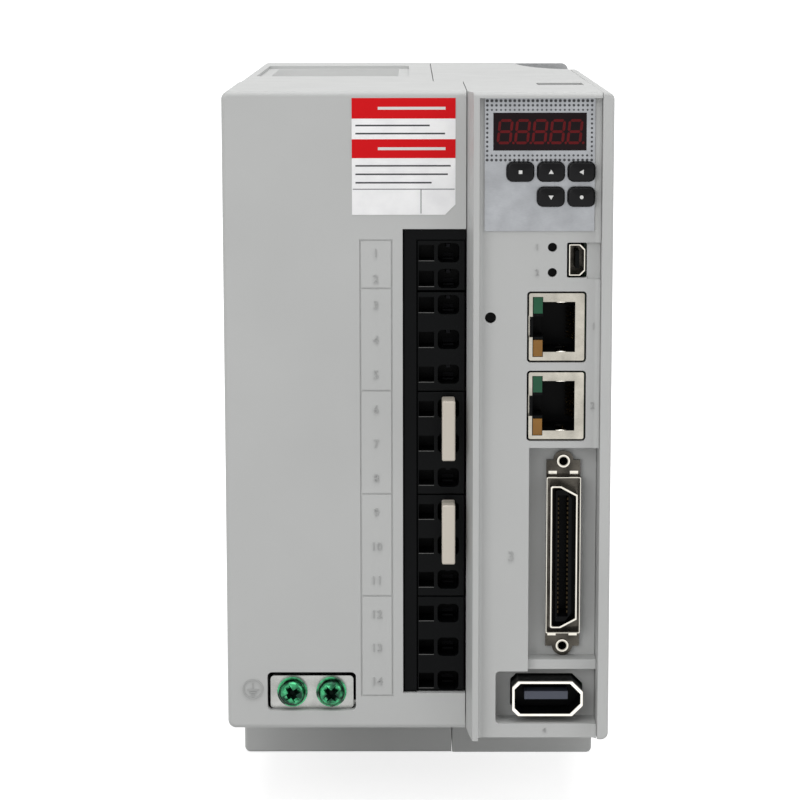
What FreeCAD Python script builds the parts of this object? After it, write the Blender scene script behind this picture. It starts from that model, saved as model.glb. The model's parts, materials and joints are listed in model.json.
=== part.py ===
import FreeCAD, Part
import os

# Panel-mounted servo drive, in millimetres. Seen from the front, X runs to the right, Y runs to the
# back and Z runs up. Sizes are laid out from the left side (x), the power cover's front face (y)
# and the base (z), or from the top (drop). The origin moves to the base's centre at export.

# Overall sizes
total_width = 97.0
total_height = 185.5
body_depth = 191.0          # power cover's front face to the back plate's rear face
cover_height = 163.0        # power cover, measured down from the top
cover_depth = 55.0          # both front covers, back to the cases
side_depth = 134.0          # side cover, back to the heat sink
wall = 2.5
gap = 0.2                   # seam between neighbouring mouldings

# Where the casings meet
control_left = 61.1         # left side of the control section
control_proud = 8.5         # its rim stands this far ahead of the power cover
tray_depth = 3.5            # its front panel lies this far behind the rim
rim_left, rim_top = 2.9, 1.4    # width of the rim left of the panel and above it
panel_thick = 2.2
cove_r, cove_left_r = 1.5, 1.2    # hollow rounding at the panel's right and left edges
well_wall = 1.8
side_lean = 1.6             # the rim's left side leans in by this much
side_wall = 2.8
case_inset = 0.8            # left case stands this far in from the power cover
seam_top = 53.0
seam_base = 58.2
plate_thick = 4.0
corner_r, edge_r = 2.0, 1.3     # power cover's outer corners and the edge round its face
rib_places, rib_thick = (18.0, 36.0), 1.2
step_depth, step_drop = 0.5, 0.4    # left case's landing for the power cover
boss_r, boss_length, boss_hole = 3.4, 14.0, 8.2
pillar_r = 3.0
screw_clear_r, screw_sink_r, screw_sink = 1.7, 3.0, 1.8     # back plate's countersunk holes

# Louvres in the left case
vent_left, vent_right, vent_front, vent_rear = 4.0, 46.5, 88.0, 162.0
vent_pitch, vent_slot, vent_edge, vent_sunk = 4.6, 2.2, 3.0, 0.9
bank_count, bank_pitch, bank_slot, bank_height = 9, 8.0, 3.0, 42.0
bank_start, bank_base, bank_rise = 22.0, 18.0, 78.0

# Terminal blocks
block_left = 45.0
block_top = 34.3            # drop of the terminal window's top
block_under = 2.97          # window's lower edge, below the last row
header_strip = 3.4          # header face left of the plugs
plug_face = 1.6             # plugs' front face, behind the power cover's face
plug_depth = 15.0
plug_right_gap = 0.4
main_pitch = 8.83
small_pitch = 6.5
first_small_row = 40.4      # drop of the first small pole
first_main_row = 53.5       # drop of the first main pole
main_plugs = 4
poles_each = 3
entry_width, entry_height, entry_depth = 5.4, 4.9, 11.0
entry_corner = 1.2
tool_width, tool_height, tool_depth = 3.9, 3.9, 8.0
entry_gap = 0.9             # web between tool slot and wire entry
pin_width, pin_thick, pin_length = 1.0, 0.8, 9.0
pin_rise = 1.2              # pin centre above the wire entry's centre
header_depth = 24.0
jumper_reach = 7.0          # how far a jumper's blades enter
jumper_proud = 6.5          # its grip ahead of the power cover's face

# Earth terminal
earth_left, earth_width, earth_height = 10.2, 22.7, 10.1
earth_drop = 148.1
earth_pitch = 10.0
earth_recess = 2.0
earth_side, earth_over, earth_under = 0.7, 1.4, 0.1     # gaps between the plate and its opening
earth_lower = 0.4           # screws below the opening's middle
earth_plate_thick, earth_leg = 2.0, 1.6
earth_screw_r = 2.0
earth_head_r = 4.0
earth_head_height, earth_screw_length = 2.6, 8.0
washer_r, washer_thick = 3.9, 0.98

# Front label and terminal number strip
label_left, label_width, label_height, label_drop = 32.4, 25.8, 29.0, 1.7
label_thick = 0.15
strip_left, strip_width = 34.2, 7.9
strip_over, strip_under = 3.5, 3.4     # strip's ends, past the first and last rows
strip_small, strip_main = 2.1, 3.75    # divider below a plug's last row
groove_width, groove_depth = 0.4, 0.35

# Control panel
overlay_drop, overlay_height, overlay_thick = 1.5, 32.8, 0.3
window_left, window_width, window_height, window_drop = 67.5, 22.8, 9.1, 5.2
key_width, key_height, key_proud, key_travel = 6.7, 4.8, 1.7, 0.8
key_gap, key_lip = 0.15, 0.55       # side clearance, and the flange's overlap behind the panel
key_pitch_x, key_pitch_z = 7.55, 6.2
key_left, key_drop = 74.1, 19.6     # centre of the first key
led_x, led_r, led_drops = 82.2, 1.15, (38.4, 44.7)
charge_x, charge_drop, charge_r = 66.9, 56.0, 1.4
usb_left, usb_width, usb_height, usb_drop = 85.8, 5.0, 8.8, 37.2
usb_depth = 9.5
jack_left, jack_width, jack_height, jack_edge = 76.0, 14.8, 17.9, 0.5
jack_drop, jack_spacing = 49.4, 2.0     # first jack's top, and the bar between the jacks
jack_depth = 21.0
mouth_left, mouth_width, mouth_height = 4.0, 8.0, 12.6    # mouth, from the jack's left edge
well_floor = 8.0            # depth of the connector wells behind the panel
io_left, io_bar, io_height = 76.7, 1.7, 55.2    # io_bar: panel left between jacks and well
io_centre_x, io_centre_below = 85.7, 28.5       # connector's centre, below the well's top
io_screw_pitch, io_screw_r = 48.0, 1.1
io_shell_width, io_shell_height = 6.7, 36.6
feedback_left, feedback_bar, feedback_height = 68.5, 2.5, 13.7
feedback_x, feedback_below = 81.8, 7.4
feedback_width, feedback_tall, feedback_long = 17.9, 9.0, 12.0
sto_x, sto_y, sto_width, sto_length = 86.0, 38.0, 12.0, 12.0

# Cooling and mounting
sink_left = 58.5
sink_base = 6.0
sink_top = 2.5              # top plate, seen through the casing's cut-away corner
fin_thick, fin_count = 1.6, 9
outer_fin = 2.5
exhaust_width, exhaust_height, exhaust_count = 2.4, 34.0, 7
module_left, module_width, module_height, module_thick = 62.5, 25.0, 52.0, 9.0
fan_size, fan_thick, fan_bore_r = 35.0, 15.0, 16.5
hub_r, blade_count, blade_gap = 8.5, 7, 0.5
axle_r, axle_gap = 1.5, 0.05
mount_r = 2.1               # M5 tapping holes in the back plate
mount_pitch_x, mount_pitch_z = 80.0, 168.0
corner_cut_x, corner_cut_y = 17.5, 54.0

# Boards
board_thick = 1.6
board_offset = 3.0          # power board, left of the terminal window
pilot_r, board_screw_depth = 1.5, 5.0
can_r, can_pitch = 11.0, 27.0

# Worked-out places
last_row = first_main_row + (main_plugs * poles_each - 1) * main_pitch
block_base = last_row + block_under
jack_drops = (jack_drop, jack_drop + jack_height + jack_spacing)
io_drop = jack_drops[1] + jack_height + io_bar
io_centre_drop = io_drop + io_centre_below
feedback_drop = io_drop + io_height + feedback_bar
feedback_z_drop = feedback_drop + feedback_below
power_board_x = block_left - board_offset
chin_height = total_height - cover_height
y_rim = -control_proud
y_panel = y_rim + tray_depth
y_case = cover_depth + gap
y_plate = body_depth - plate_thick
side_left = total_width - side_wall
control_right = side_left - 0.1
cover_right = control_left - gap
plug_left = block_left + header_strip + 0.2
plug_right = control_left - plug_right_gap
y_well = y_panel + well_floor
board_x = jack_left + jack_width - jack_edge    # control board, on the jacks' right
sink_right = total_width - 0.5
fan_x = seam_base + gap + 0.5 + fan_size / 2
fan_y = y_plate - 5.0 - fan_size / 2

X_AXIS = FreeCAD.Vector(1, 0, 0)
Y_AXIS = FreeCAD.Vector(0, 1, 0)
Z_AXIS = FreeCAD.Vector(0, 0, 1)


def up(drop):
    """Height of a point that lies this far below the top."""
    return total_height - drop


def block(x0, x1, y0, y1, z0, z1):
    return Part.makeBox(x1 - x0, y1 - y0, z1 - z0, FreeCAD.Vector(x0, y0, z0))


def rod(x, y, z, radius, length, axis=Y_AXIS):
    return Part.makeCylinder(radius, length, FreeCAD.Vector(x, y, z), axis)


def along(edge, axis):
    """True for a straight edge parallel to the axis."""
    if len(edge.Vertexes) != 2 or not isinstance(edge.Curve, (Part.Line, Part.LineSegment)):
        return False
    run = edge.Vertexes[1].Point - edge.Vertexes[0].Point
    return run.Length > 1e-6 and abs(abs(run.dot(axis)) - run.Length) < 1e-6


def rounded(shape, radius, test):
    """Fillets the edges whose middle point passes the test."""
    picked = [e for e in shape.Edges if test(e, e.BoundBox.Center)]
    return shape.makeFillet(radius, picked)


def window(x0, x1, z0, z1, y0, y1, radius):
    """A block with its four corners rounded as seen from the front."""
    return rounded(block(x0, x1, y0, y1, z0, z1), radius, lambda e, c: along(e, Y_AXIS))


def prism(points, y0, y1):
    """A closed outline of (x, z) points, carried along Y."""
    corners = [FreeCAD.Vector(x, y0, z) for x, z in points]
    face = Part.Face(Part.makePolygon(corners + corners[:1]))
    return face.extrude(FreeCAD.Vector(0, y1 - y0, 0))


def near(a, b):
    return abs(a - b) < 0.01


def fused(shapes):
    return shapes[0].multiFuse(shapes[1:]).removeSplitter()


def ring(x, y, z, outer, inner, length, axis=Y_AXIS):
    return rod(x, y, z, outer, length, axis).cut(rod(x, y, z, inner, length, axis))


# Terminal rows

def small_rows():
    return [first_small_row + i * small_pitch for i in range(2)]


def main_rows(plug):
    first = first_main_row + plug * poles_each * main_pitch
    return [first + i * main_pitch for i in range(poles_each)]


def all_rows():
    return small_rows() + [d for p in range(main_plugs) for d in main_rows(p)]


def strip_drops():
    """Drops of the number strip's ends and of the dividers between the plugs."""
    first = small_rows()[-1] + strip_small
    others = [main_rows(p)[-1] + strip_main for p in range(main_plugs - 1)]
    return [first_small_row - strip_over, first] + others + [last_row + strip_under]


def plug_ends(rows):
    """Drops of a plug's top and lower end, half a pole past its outer rows."""
    if rows == small_rows():
        return rows[0] - small_pitch / 2, rows[-1] + small_pitch / 2 - 0.25
    top = rows[0] - (small_pitch / 2 if rows[0] == first_main_row else main_pitch / 2)
    lowest = rows[-1] == main_rows(main_plugs - 1)[-1]
    end = rows[-1] + (entry_height / 2 + 0.35 if lowest else main_pitch / 2)
    return top + gap / 2, end - gap / 2


tool_left = plug_left + 0.4
entry_left = tool_left + tool_width + entry_gap
entry_mid = entry_left + entry_width / 2


# Casings

def power_cover():
    low = up(cover_height)
    body = block(0, cover_right, 0, cover_depth, low, total_height)
    body = rounded(body, corner_r, lambda e, c: along(e, Y_AXIS) and near(c.x, 0))
    body = rounded(body, edge_r, lambda e, c: near(c.y, 0) and c.x < cover_right - 0.01)
    hollow = block(wall, cover_right, wall, cover_depth, low + wall, total_height - wall)
    body = body.cut(hollow)
    body = body.cut(block(block_left, cover_right, 0, wall, up(block_base), up(block_top)))
    opening = window(earth_left, earth_left + earth_width, up(earth_drop + earth_height),
                     up(earth_drop), -1, wall + 1, 1.2)
    body = body.cut(opening)
    drops = strip_drops()
    for drop in drops:
        z = up(drop)
        body = body.cut(block(strip_left, strip_left + strip_width + groove_width,
                              0, groove_depth, z - groove_width, z))
    for x in (strip_left, strip_left + strip_width):
        body = body.cut(block(x, x + groove_width, 0, groove_depth,
                              up(drops[-1]) - groove_width, up(drops[0])))
    ribs = [block(wall, wall + rib_thick, y, y + rib_thick, low + wall, total_height - wall)
            for y in rib_places]
    return fused([body] + ribs)


def control_cover():
    low = up(cover_height + 0.9)
    body = block(control_left, control_right, y_rim, cover_depth, low, total_height)
    outline = [(control_left - 1, 0), (control_left, 0), (control_left + side_lean, y_rim - 1),
               (control_left - 1, y_rim - 1), (control_left - 1, 0)]
    wedge = Part.Face(Part.makePolygon([FreeCAD.Vector(x, y, low - 1) for x, y in outline]))
    body = body.cut(wedge.extrude(FreeCAD.Vector(0, 0, total_height - low + 2)))
    body = rounded(body, 2.0, lambda e, c: near(c.z, low) and along(e, Y_AXIS) and c.x < control_left + 0.1)
    body = rounded(body, 1.1, lambda e, c: near(c.y, y_rim) and along(e, X_AXIS) and c.z > low + 5)
    tray_left = control_left + rim_left
    tray_top = total_height - rim_top
    body = body.cut(block(tray_left, control_right, y_rim, y_panel, low, tray_top))
    hollow = block(control_left + wall, control_right, y_panel + panel_thick, cover_depth,
                   low + wall, total_height - wall)
    body = body.cut(hollow)
    wells = [block(io_left - well_wall, control_right, y_panel, y_well + well_wall,
                   up(io_drop + io_height) - 3.0, up(io_drop) + well_wall / 2),
             block(feedback_left - well_wall, control_right, y_panel, y_well + well_wall, low,
                   up(feedback_drop) + well_wall)]
    body = fused([body] + wells)
    cove = block(control_right - cove_r, control_right, y_panel - cove_r, y_panel, low, tray_top)
    cove = cove.cut(rod(control_right - cove_r, y_panel - cove_r, low, cove_r, total_height - low, Z_AXIS))
    cove_left = block(tray_left, tray_left + cove_left_r, y_panel - cove_left_r, y_panel, low, tray_top)
    cove_left = cove_left.cut(rod(tray_left + cove_left_r, y_panel - cove_left_r, low, cove_left_r,
                                  total_height - low, Z_AXIS))
    body = fused([body, cove, cove_left])
    body = body.cut(block(io_left, control_right, y_panel - 2, y_well, up(io_drop + io_height), up(io_drop)))
    recess = window(feedback_left, control_right + 5, up(feedback_drop + feedback_height),
                    up(feedback_drop), y_panel - 2, y_well, 1.0)
    body = body.cut(recess)
    body = body.cut(block(io_left, control_right, y_panel - 2, y_panel + 2.5,
                          up(feedback_drop) - 1, up(io_drop + io_height) + 1))
    for cutter in panel_openings():
        body = body.cut(cutter)
    return body


def panel_openings():
    """Everything that passes through the control cover's front panel, wells and top."""
    y0, y1 = y_panel - 2, y_panel + panel_thick + 1
    cuts = [block(window_left - 0.1, window_left + window_width + 0.1, y0, y1,
                  up(window_drop + window_height + 0.1), up(window_drop - 0.1))]
    for x, drop in key_places().values():
        cuts.append(key_hole(x, drop, y0, y1))
    cuts += [rod(led_x, y0, up(drop), led_r, y1 - y0) for drop in led_drops]
    cuts.append(rod(charge_x, y0, up(charge_drop), charge_r, y1 - y0))
    cuts.append(window(usb_left, usb_left + usb_width, up(usb_drop + usb_height), up(usb_drop), y0, y1, 0.5))
    cuts.append(block(usb_left + usb_width - 0.01, control_right, y_panel - 2, y_panel + 0.7,
                      up(usb_drop + usb_height) - 0.3, up(usb_drop)))
    for drop in jack_drops:
        cuts.append(window(jack_left, jack_left + jack_width, up(drop + jack_height), up(drop), y0, y1, 0.9))
    cuts.append(io_outline(0.35, y_well - 1, y_well + 3))
    for side in (-1, 1):
        cuts.append(rod(io_centre_x, y_well - 1, up(io_centre_drop) + side * io_screw_pitch / 2, 1.9, 4))
    cuts.append(feedback_outline(0.35, y_well - 1, y_well + 3))
    cuts.append(block(sto_x - sto_width / 2, sto_x + sto_width / 2, sto_y - sto_length / 2,
                      sto_y + sto_length / 2, total_height - wall - 1, total_height + 1))
    return cuts


def side_cover():
    low = up(cover_height + 0.6)
    body = block(side_left, total_width, y_rim, side_depth, low, total_height)
    body = rounded(body, 1.8, lambda e, c: along(e, Y_AXIS) and near(c.x, total_width))
    body = rounded(body, 0.7, lambda e, c: near(c.y, y_rim) and c.x > side_left + 0.01)
    pads = [rod(side_left - gap_to_board(), y, z, 3.0, gap_to_board(), X_AXIS)
            for y, z in control_screw_places()]
    body = fused([body] + pads)
    for y, z in control_screw_places():
        body = body.cut(rod(board_x, y, z, pilot_r, gap_to_board() + board_thick + 1.0, X_AXIS))
    return body


def gap_to_board():
    """Space between the control board and the side cover, which the cover's pads fill."""
    return side_left - board_x - board_thick


def control_screw_places():
    return [(y, z) for y in (60.0, side_depth - 24.0) for z in (up(cover_height) + 12.0, up(14.0))]


def power_screw_places():
    return [(y, z) for y in (cover_depth + 9.0, side_depth - 14.0) for z in (chin_height + 14.0, up(14.0))]


def left_case():
    left = case_inset
    body = block(left, seam_base, y_case, y_plate, 0, total_height)
    body = rounded(body, 1.6, lambda e, c: along(e, Y_AXIS) and near(c.x, left))
    body = rounded(body, 0.8, lambda e, c: near(c.y, y_case) and c.z < 1.0 and c.x < seam_base - 0.01)
    hollow_high = block(left + wall, seam_base, y_case, y_plate, chin_height, total_height - wall)
    hollow_low = block(left + wall, seam_base, y_case + wall, y_plate, wall, chin_height)
    body = body.cut(fused([hollow_high, hollow_low]))
    body = body.cut(block(seam_top, seam_base, y_case, y_plate, total_height - wall, total_height))
    # A shallow step along the front edge, where the power cover's skirt lands
    body = body.cut(block(left, seam_base, y_case, y_case + step_depth, total_height - step_drop,
                          total_height))
    pillars = [rod(left + wall, y, z, pillar_r, power_board_x - left - wall, X_AXIS)
               for y, z in power_screw_places()]
    bosses = [rod(x, y_plate - boss_length, z, boss_r, boss_length) for x, z in left_boss_places()]
    body = fused([body] + pillars + bosses)
    for x, z in left_boss_places():
        body = body.cut(rod(x, y_plate - boss_hole, z, pilot_r, boss_hole))
    for y, z in power_screw_places():
        depth = board_screw_depth + 0.2
        body = body.cut(rod(power_board_x - depth, y, z, pilot_r, depth, X_AXIS))
    for cutter in vents():
        body = body.cut(cutter)
    return body


def vents():
    """Louvre slots in the left case's top, inside a shallow panel, and two banks in its side."""
    cuts = [block(vent_left, vent_right, vent_front, vent_rear, total_height - vent_sunk, total_height + 1)]
    for i in range(int((vent_rear - vent_front - 4) / vent_pitch)):
        y = vent_front + vent_edge + i * vent_pitch
        cuts.append(block(vent_left + vent_edge, vent_right - vent_edge, y, y + vent_slot,
                          total_height - wall - 1, total_height))
    for bank in (0, 1):
        for i in range(bank_count):
            y = y_case + bank_start + i * bank_pitch
            z = chin_height + bank_base + bank * bank_rise
            cuts.append(block(case_inset - 1, case_inset + wall + 1, y, y + bank_slot, z, z + bank_height))
    return cuts


def left_boss_places():
    return [(30.0, wall + 3.2), (30.0, total_height - wall - 3.2)]


def sink_boss_places():
    middle = (sink_left + sink_right) / 2
    return [(middle, chin_height + 24.0), (middle, total_height - 24.0)]


def right_case():
    inner = control_right
    top = block(seam_top + gap, inner, y_case, y_plate, total_height - wall, total_height)
    oval = Part.Ellipse(FreeCAD.Vector(0, 0, 0), corner_cut_y, corner_cut_x).toShape()
    oval = Part.Face(Part.Wire(oval)).extrude(FreeCAD.Vector(0, 0, wall + 2))
    oval.rotate(FreeCAD.Vector(0, 0, 0), Z_AXIS, 90)
    oval.translate(FreeCAD.Vector(total_width, y_plate, total_height - wall - 1))
    top = top.cut(oval)
    floor = block(seam_base + gap, total_width, y_case, y_plate, 0, wall)
    chin = block(seam_base + gap, total_width, y_case, y_case + wall, 0, chin_height - 1.2)
    side = block(total_width - wall, total_width, y_case, y_plate, 0, chin_height - 1.2)
    bulkhead = block(seam_base + gap, inner, side_depth - 4.5, side_depth - 2.0, 0, total_height)
    module = block(module_left - 1, module_left + module_width + 1, side_depth - 5, side_depth,
                   module_base() - 1, module_base() + module_height + 1)
    base = fused([floor, chin, side])
    base = rounded(base, 1.4, lambda e, c: along(e, Y_AXIS) and near(c.x, total_width) and near(c.z, 0))
    body = fused([top, base, bulkhead.cut(module)])
    return body.cut(rod(fan_x, fan_y, -1, fan_bore_r, wall + 2, Z_AXIS))


def mount_places():
    """The four tapped fixing holes."""
    return [(total_width / 2 + sx * mount_pitch_x / 2, total_height / 2 + sz * mount_pitch_z / 2)
            for sx in (-1, 1) for sz in (-1, 1)]


def back_plate():
    plate = window(case_inset, sink_right, 0, total_height - 0.3, y_plate, body_depth, 2.0)
    for x, z in mount_places():
        plate = plate.cut(rod(x, y_plate - 1, z, mount_r, plate_thick + 2))
    for x, z in left_boss_places() + sink_boss_places():
        plate = plate.cut(rod(x, y_plate - 1, z, screw_clear_r, plate_thick + 2))
        plate = plate.cut(rod(x, body_depth - screw_sink, z, screw_sink_r, screw_sink + 1))
    return plate


# Cooling

def heat_sink():
    """Cast cooler: a base behind the power module, vertical fins, an outer wall and a top plate."""
    low, high = chin_height - 1.2 + gap, total_height - wall - gap
    tip = y_plate
    base = block(sink_left, sink_right, side_depth, side_depth + sink_base, low, high)
    pitch = (sink_right - outer_fin - sink_left) / fin_count
    fins = [block(sink_left + i * pitch, sink_left + i * pitch + fin_thick,
                  side_depth + sink_base, tip, low, high) for i in range(fin_count)]
    outer = block(sink_right - outer_fin, sink_right, side_depth, tip, low, high)
    top = block(sink_left, sink_right, side_depth, tip, high - sink_top, high)
    bosses = [rod(x, side_depth + 1, z, 3.6, tip - side_depth - 1) for x, z in sink_boss_places()]
    body = fused([base, outer, top] + fins + bosses)
    step = (tip - side_depth - sink_base) / exhaust_count
    for i in range(exhaust_count):
        y = side_depth + sink_base + (i + 0.5) * step
        body = body.cut(block(sink_right - outer_fin - 0.1, sink_right + 1, y - exhaust_width / 2,
                              y + exhaust_width / 2, high - 14.0 - exhaust_height, high - 14.0))
    for x, z in sink_boss_places():
        body = body.cut(rod(x, y_plate - boss_hole, z, pilot_r, boss_hole + 1))
    return rounded(body, 1.0, lambda e, c: near(c.x, sink_right) and near(c.z, high) and along(e, Y_AXIS))


def fan_frame():
    half = fan_size / 2
    z0 = wall
    body = block(fan_x - half, fan_x + half, fan_y - half, fan_y + half, z0, z0 + fan_thick)
    body = rounded(body, 3.0, lambda e, c: along(e, Z_AXIS))
    body = body.cut(rod(fan_x, fan_y, z0, fan_bore_r, fan_thick, Z_AXIS))
    motor = rod(fan_x, fan_y, z0 + fan_thick - 2.5, hub_r, 2.5, Z_AXIS)
    axle = rod(fan_x, fan_y, z0 + 3.0, axle_r, fan_thick - 3.0, Z_AXIS)
    struts = [block(fan_x, fan_x + fan_bore_r + 0.5, fan_y - 1, fan_y + 1,
                    z0 + fan_thick - 2.0, z0 + fan_thick) for _ in range(4)]
    for i, strut in enumerate(struts):
        strut.rotate(FreeCAD.Vector(fan_x, fan_y, 0), Z_AXIS, 45 + 90 * i)
    body = fused([body, motor, axle] + struts)
    for sx in (-1, 1):
        for sy in (-1, 1):
            body = body.cut(rod(fan_x + sx * (half - 3), fan_y + sy * (half - 3), z0, 1.5, fan_thick, Z_AXIS))
    return body


def fan_rotor():
    """Cup-shaped hub with pitched blades, turning about Z."""
    z0 = wall + 0.8
    high = fan_thick - 4.2
    hub = rod(fan_x, fan_y, z0, hub_r - 0.6, high, Z_AXIS)
    hub = rounded(hub, 1.0, lambda e, c: near(c.z, z0))
    hub = hub.cut(rod(fan_x, fan_y, z0 + 2.0, axle_r + axle_gap, high, Z_AXIS))
    reach = fan_bore_r - blade_gap
    band = ring(fan_x, fan_y, z0 + 0.4, reach, hub_r - 1.6, high - 0.8, Z_AXIS)
    for i in range(blade_count):
        blade = block(hub_r - 3.0, reach + 2, -0.5, 0.5, -9, 9)
        blade.rotate(FreeCAD.Vector(0, 0, 0), X_AXIS, 42)
        blade.rotate(FreeCAD.Vector(0, 0, 0), Z_AXIS, i * 360.0 / blade_count)
        blade.translate(FreeCAD.Vector(fan_x, fan_y, z0 + high / 2))
        hub = hub.fuse(blade.common(band))
    return hub


def fan_guard():
    """Flat wire guard, let into the floor opening."""
    z0, high, wire = 0.5, 1.4, 1.2
    rings = [ring(fan_x, fan_y, z0, r, r - wire, high, Z_AXIS) for r in (4.0, 8.0, 12.0, fan_bore_r)]
    bars = [block(fan_x - fan_bore_r + 0.6, fan_x + fan_bore_r - 0.6, fan_y - 0.6, fan_y + 0.6, z0, z0 + high)
            for _ in range(2)]
    for i, bar in enumerate(bars):
        bar.rotate(FreeCAD.Vector(fan_x, fan_y, 0), Z_AXIS, 45 + 90 * i)
    return fused(rings + bars)


# Terminals

def terminal_header():
    """Black header: a face strip on the left, end walls and a pin base behind the plugs."""
    left, right = block_left + 0.2, cover_right - 0.1
    low, high = up(block_base) + 0.15, up(block_top) - 0.15
    y0 = plug_face - 0.4
    strip = block(left, plug_left - 0.15, y0, header_depth, low, high)
    foot = block(power_board_x + board_thick, left, wall + 2.0, header_depth, low, high)
    base = block(left, right, plug_face + plug_depth + 0.3, header_depth, low, high)
    top_plug = plug_ends(small_rows())[0]
    lintel = block(left, right, y0, header_depth, up(top_plug) + gap / 2, high)
    body = fused([strip, foot, base, lintel])
    body = rounded(body, 0.3, lambda e, c: near(c.y, y0) and c.x < left + 0.01)
    for pin in header_pins().Solids:
        body = body.cut(pin)
    return body


def header_pins():
    y0 = plug_face + plug_depth + 0.3 - pin_length
    low, high = pin_rise - pin_thick / 2, pin_rise + pin_thick / 2
    pins = [block(entry_mid - pin_width / 2, entry_mid + pin_width / 2, y0, header_depth + 2,
                  up(d) + low, up(d) + high) for d in all_rows()]
    return Part.makeCompound(pins)


def plug(rows):
    """Pluggable terminal: a tool slot and a wire entry for each pole, and a pin slot behind."""
    top, end = plug_ends(rows)
    body = block(plug_left, plug_right, plug_face, plug_face + plug_depth, up(end), up(top))
    body = rounded(body, 0.3, lambda e, c: near(c.y, plug_face))
    for d in rows:
        z = up(d)
        body = body.cut(window(entry_left, entry_left + entry_width, z - entry_height / 2,
                               z + entry_height / 2, plug_face - 1, plug_face + entry_depth,
                               entry_corner))
        body = body.cut(block(tool_left, tool_left + tool_width, plug_face - 1, plug_face + tool_depth,
                              z - tool_height / 2, z + tool_height / 2))
        half_x, half_z = pin_width / 2 + 0.25, pin_thick / 2 + 0.25
        body = body.cut(block(entry_mid - half_x, entry_mid + half_x, plug_face + entry_depth - 1,
                              plug_face + plug_depth + 1, z + pin_rise - half_z, z + pin_rise + half_z))
    return body


def clamps(rows):
    """One spring clamp for each pole: a tongue along the wire entry's floor and a bent spring leaf."""
    made = []
    for d in rows:
        z = up(d) - entry_height / 2
        y1 = plug_face + entry_depth
        x0, x1 = entry_mid - 1.4, entry_mid + 1.4
        tongue = block(x0, x1, y1 - 3.4, y1, z, z + 0.4)
        leaf = block(x0, x1, y1 - 0.4, y1, z + 0.4, z + 1.4)
        made.append(fused([tongue, leaf]))
    return Part.makeCompound(made)


def jumper(rows):
    """Bridge between two poles: a moulded grip bar and two blades that enter the wire entries."""
    first, last = rows
    y0, y1 = -jumper_proud, plug_face - 0.6
    grip = block(entry_mid - 1.65, entry_mid + 1.65, y0, y1, up(last) - 3.2, up(first) + 3.2)
    grip = rounded(grip, 0.45, lambda e, c: c.y < y1 - 0.1)
    blades = [block(entry_mid - 1.2, entry_mid + 1.2, y1, plug_face + jumper_reach, up(d) - 1.5, up(d) + 0.5)
              for d in rows]
    return fused([grip] + blades)


# Earth terminal and label

def earth_places():
    mid = earth_left + earth_width / 2
    z = up(earth_drop + earth_height / 2 + earth_lower)
    return [(mid - earth_pitch / 2, z), (mid + earth_pitch / 2, z)]


def earth_bracket():
    """Folded metal tab behind the opening, with tapped holes and a leg to the chassis."""
    x0, x1 = earth_left + earth_side, earth_left + earth_width - earth_side
    z0, z1 = up(earth_drop + earth_height) + earth_under, up(earth_drop) - earth_over
    rear = earth_recess + earth_plate_thick
    face = window(x0, x1, z0, z1, earth_recess, rear, 1.0)
    leg = block(x0 + 1.2, power_board_x, rear, 18.0, z0, z0 + earth_leg)
    foot = block(power_board_x - earth_leg, power_board_x, rear + 2.0, 18.0, z0 + earth_leg, z1)
    body = fused([face, leg, foot])
    for x, z in earth_places():
        body = body.cut(rod(x, earth_recess - 1, z, earth_screw_r, 4))
    return body


def earth_screws():
    """Pan-head screws with a cross recess."""
    made = []
    for x, z in earth_places():
        y0 = earth_recess - 1.0
        head = rod(x, y0 - earth_head_height, z, earth_head_r - 0.4, earth_head_height)
        head = rounded(head, 1.2, lambda e, c: near(c.y, y0 - earth_head_height))
        cross = [block(x - 2.0, x + 2.0, y0 - 3, y0 - 1.2, z - 0.45, z + 0.45),
                 block(x - 0.45, x + 0.45, y0 - 3, y0 - 1.2, z - 2.0, z + 2.0)]
        head = head.cut(fused(cross))
        made.append(fused([head, rod(x, y0, z, earth_screw_r - 0.05, earth_screw_length)]))
    return Part.makeCompound(made)


def earth_washers():
    return Part.makeCompound([ring(x, earth_recess - washer_thick - 0.01, z, washer_r, earth_screw_r + 0.15,
                                   washer_thick) for x, z in earth_places()])


def front_label():
    x0, x1 = label_left, label_left + label_width
    z1, z0 = up(label_drop), up(label_drop + label_height)
    cut = 2.6
    outline = [(x0, z0), (x1 - cut, z0), (x1, z0 + cut), (x1, z1), (x0, z1)]
    return prism(outline, -label_thick, 0)


# Control panel

def key_places():
    """Key name to (x, drop): three keys above, two below."""
    right, lower = key_left + key_pitch_x, key_drop + key_pitch_z
    last = key_left + 2 * key_pitch_x
    return {"key_mode": (key_left, key_drop), "key_up": (right, key_drop), "key_shift": (last, key_drop),
            "key_down": (right, lower), "key_set": (last, lower)}


def key_hole(x, drop, y0, y1):
    half_x, half_z = key_width / 2 + key_gap, key_height / 2 + key_gap
    return window(x - half_x, x + half_x, up(drop) - half_z, up(drop) + half_z, y0, y1, 1.55 + key_gap)


def keypad_overlay():
    x0, x1 = control_left + 3.2, control_right - 0.4
    y0 = y_panel - overlay_thick
    body = block(x0 + 1.0, x1 - 1.2, y0, y_panel, up(overlay_drop + overlay_height), up(overlay_drop))
    body = body.cut(block(window_left - 0.1, window_left + window_width + 0.1, y0 - 1, y_panel + 1,
                          up(window_drop + window_height + 0.1), up(window_drop - 0.1)))
    for x, drop in key_places().values():
        body = body.cut(key_hole(x, drop, y0 - 1, y_panel + 1))
    return body


def display_window():
    return block(window_left, window_left + window_width, y_panel - overlay_thick - 0.1, y_panel + 1.2,
                 up(window_drop + window_height), up(window_drop))


def display_module():
    return block(window_left + 0.3, window_left + window_width - 0.3, y_panel + 1.2, y_panel + 4.7,
                 up(window_drop + window_height) + 0.3, up(window_drop) - 0.3)


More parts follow.
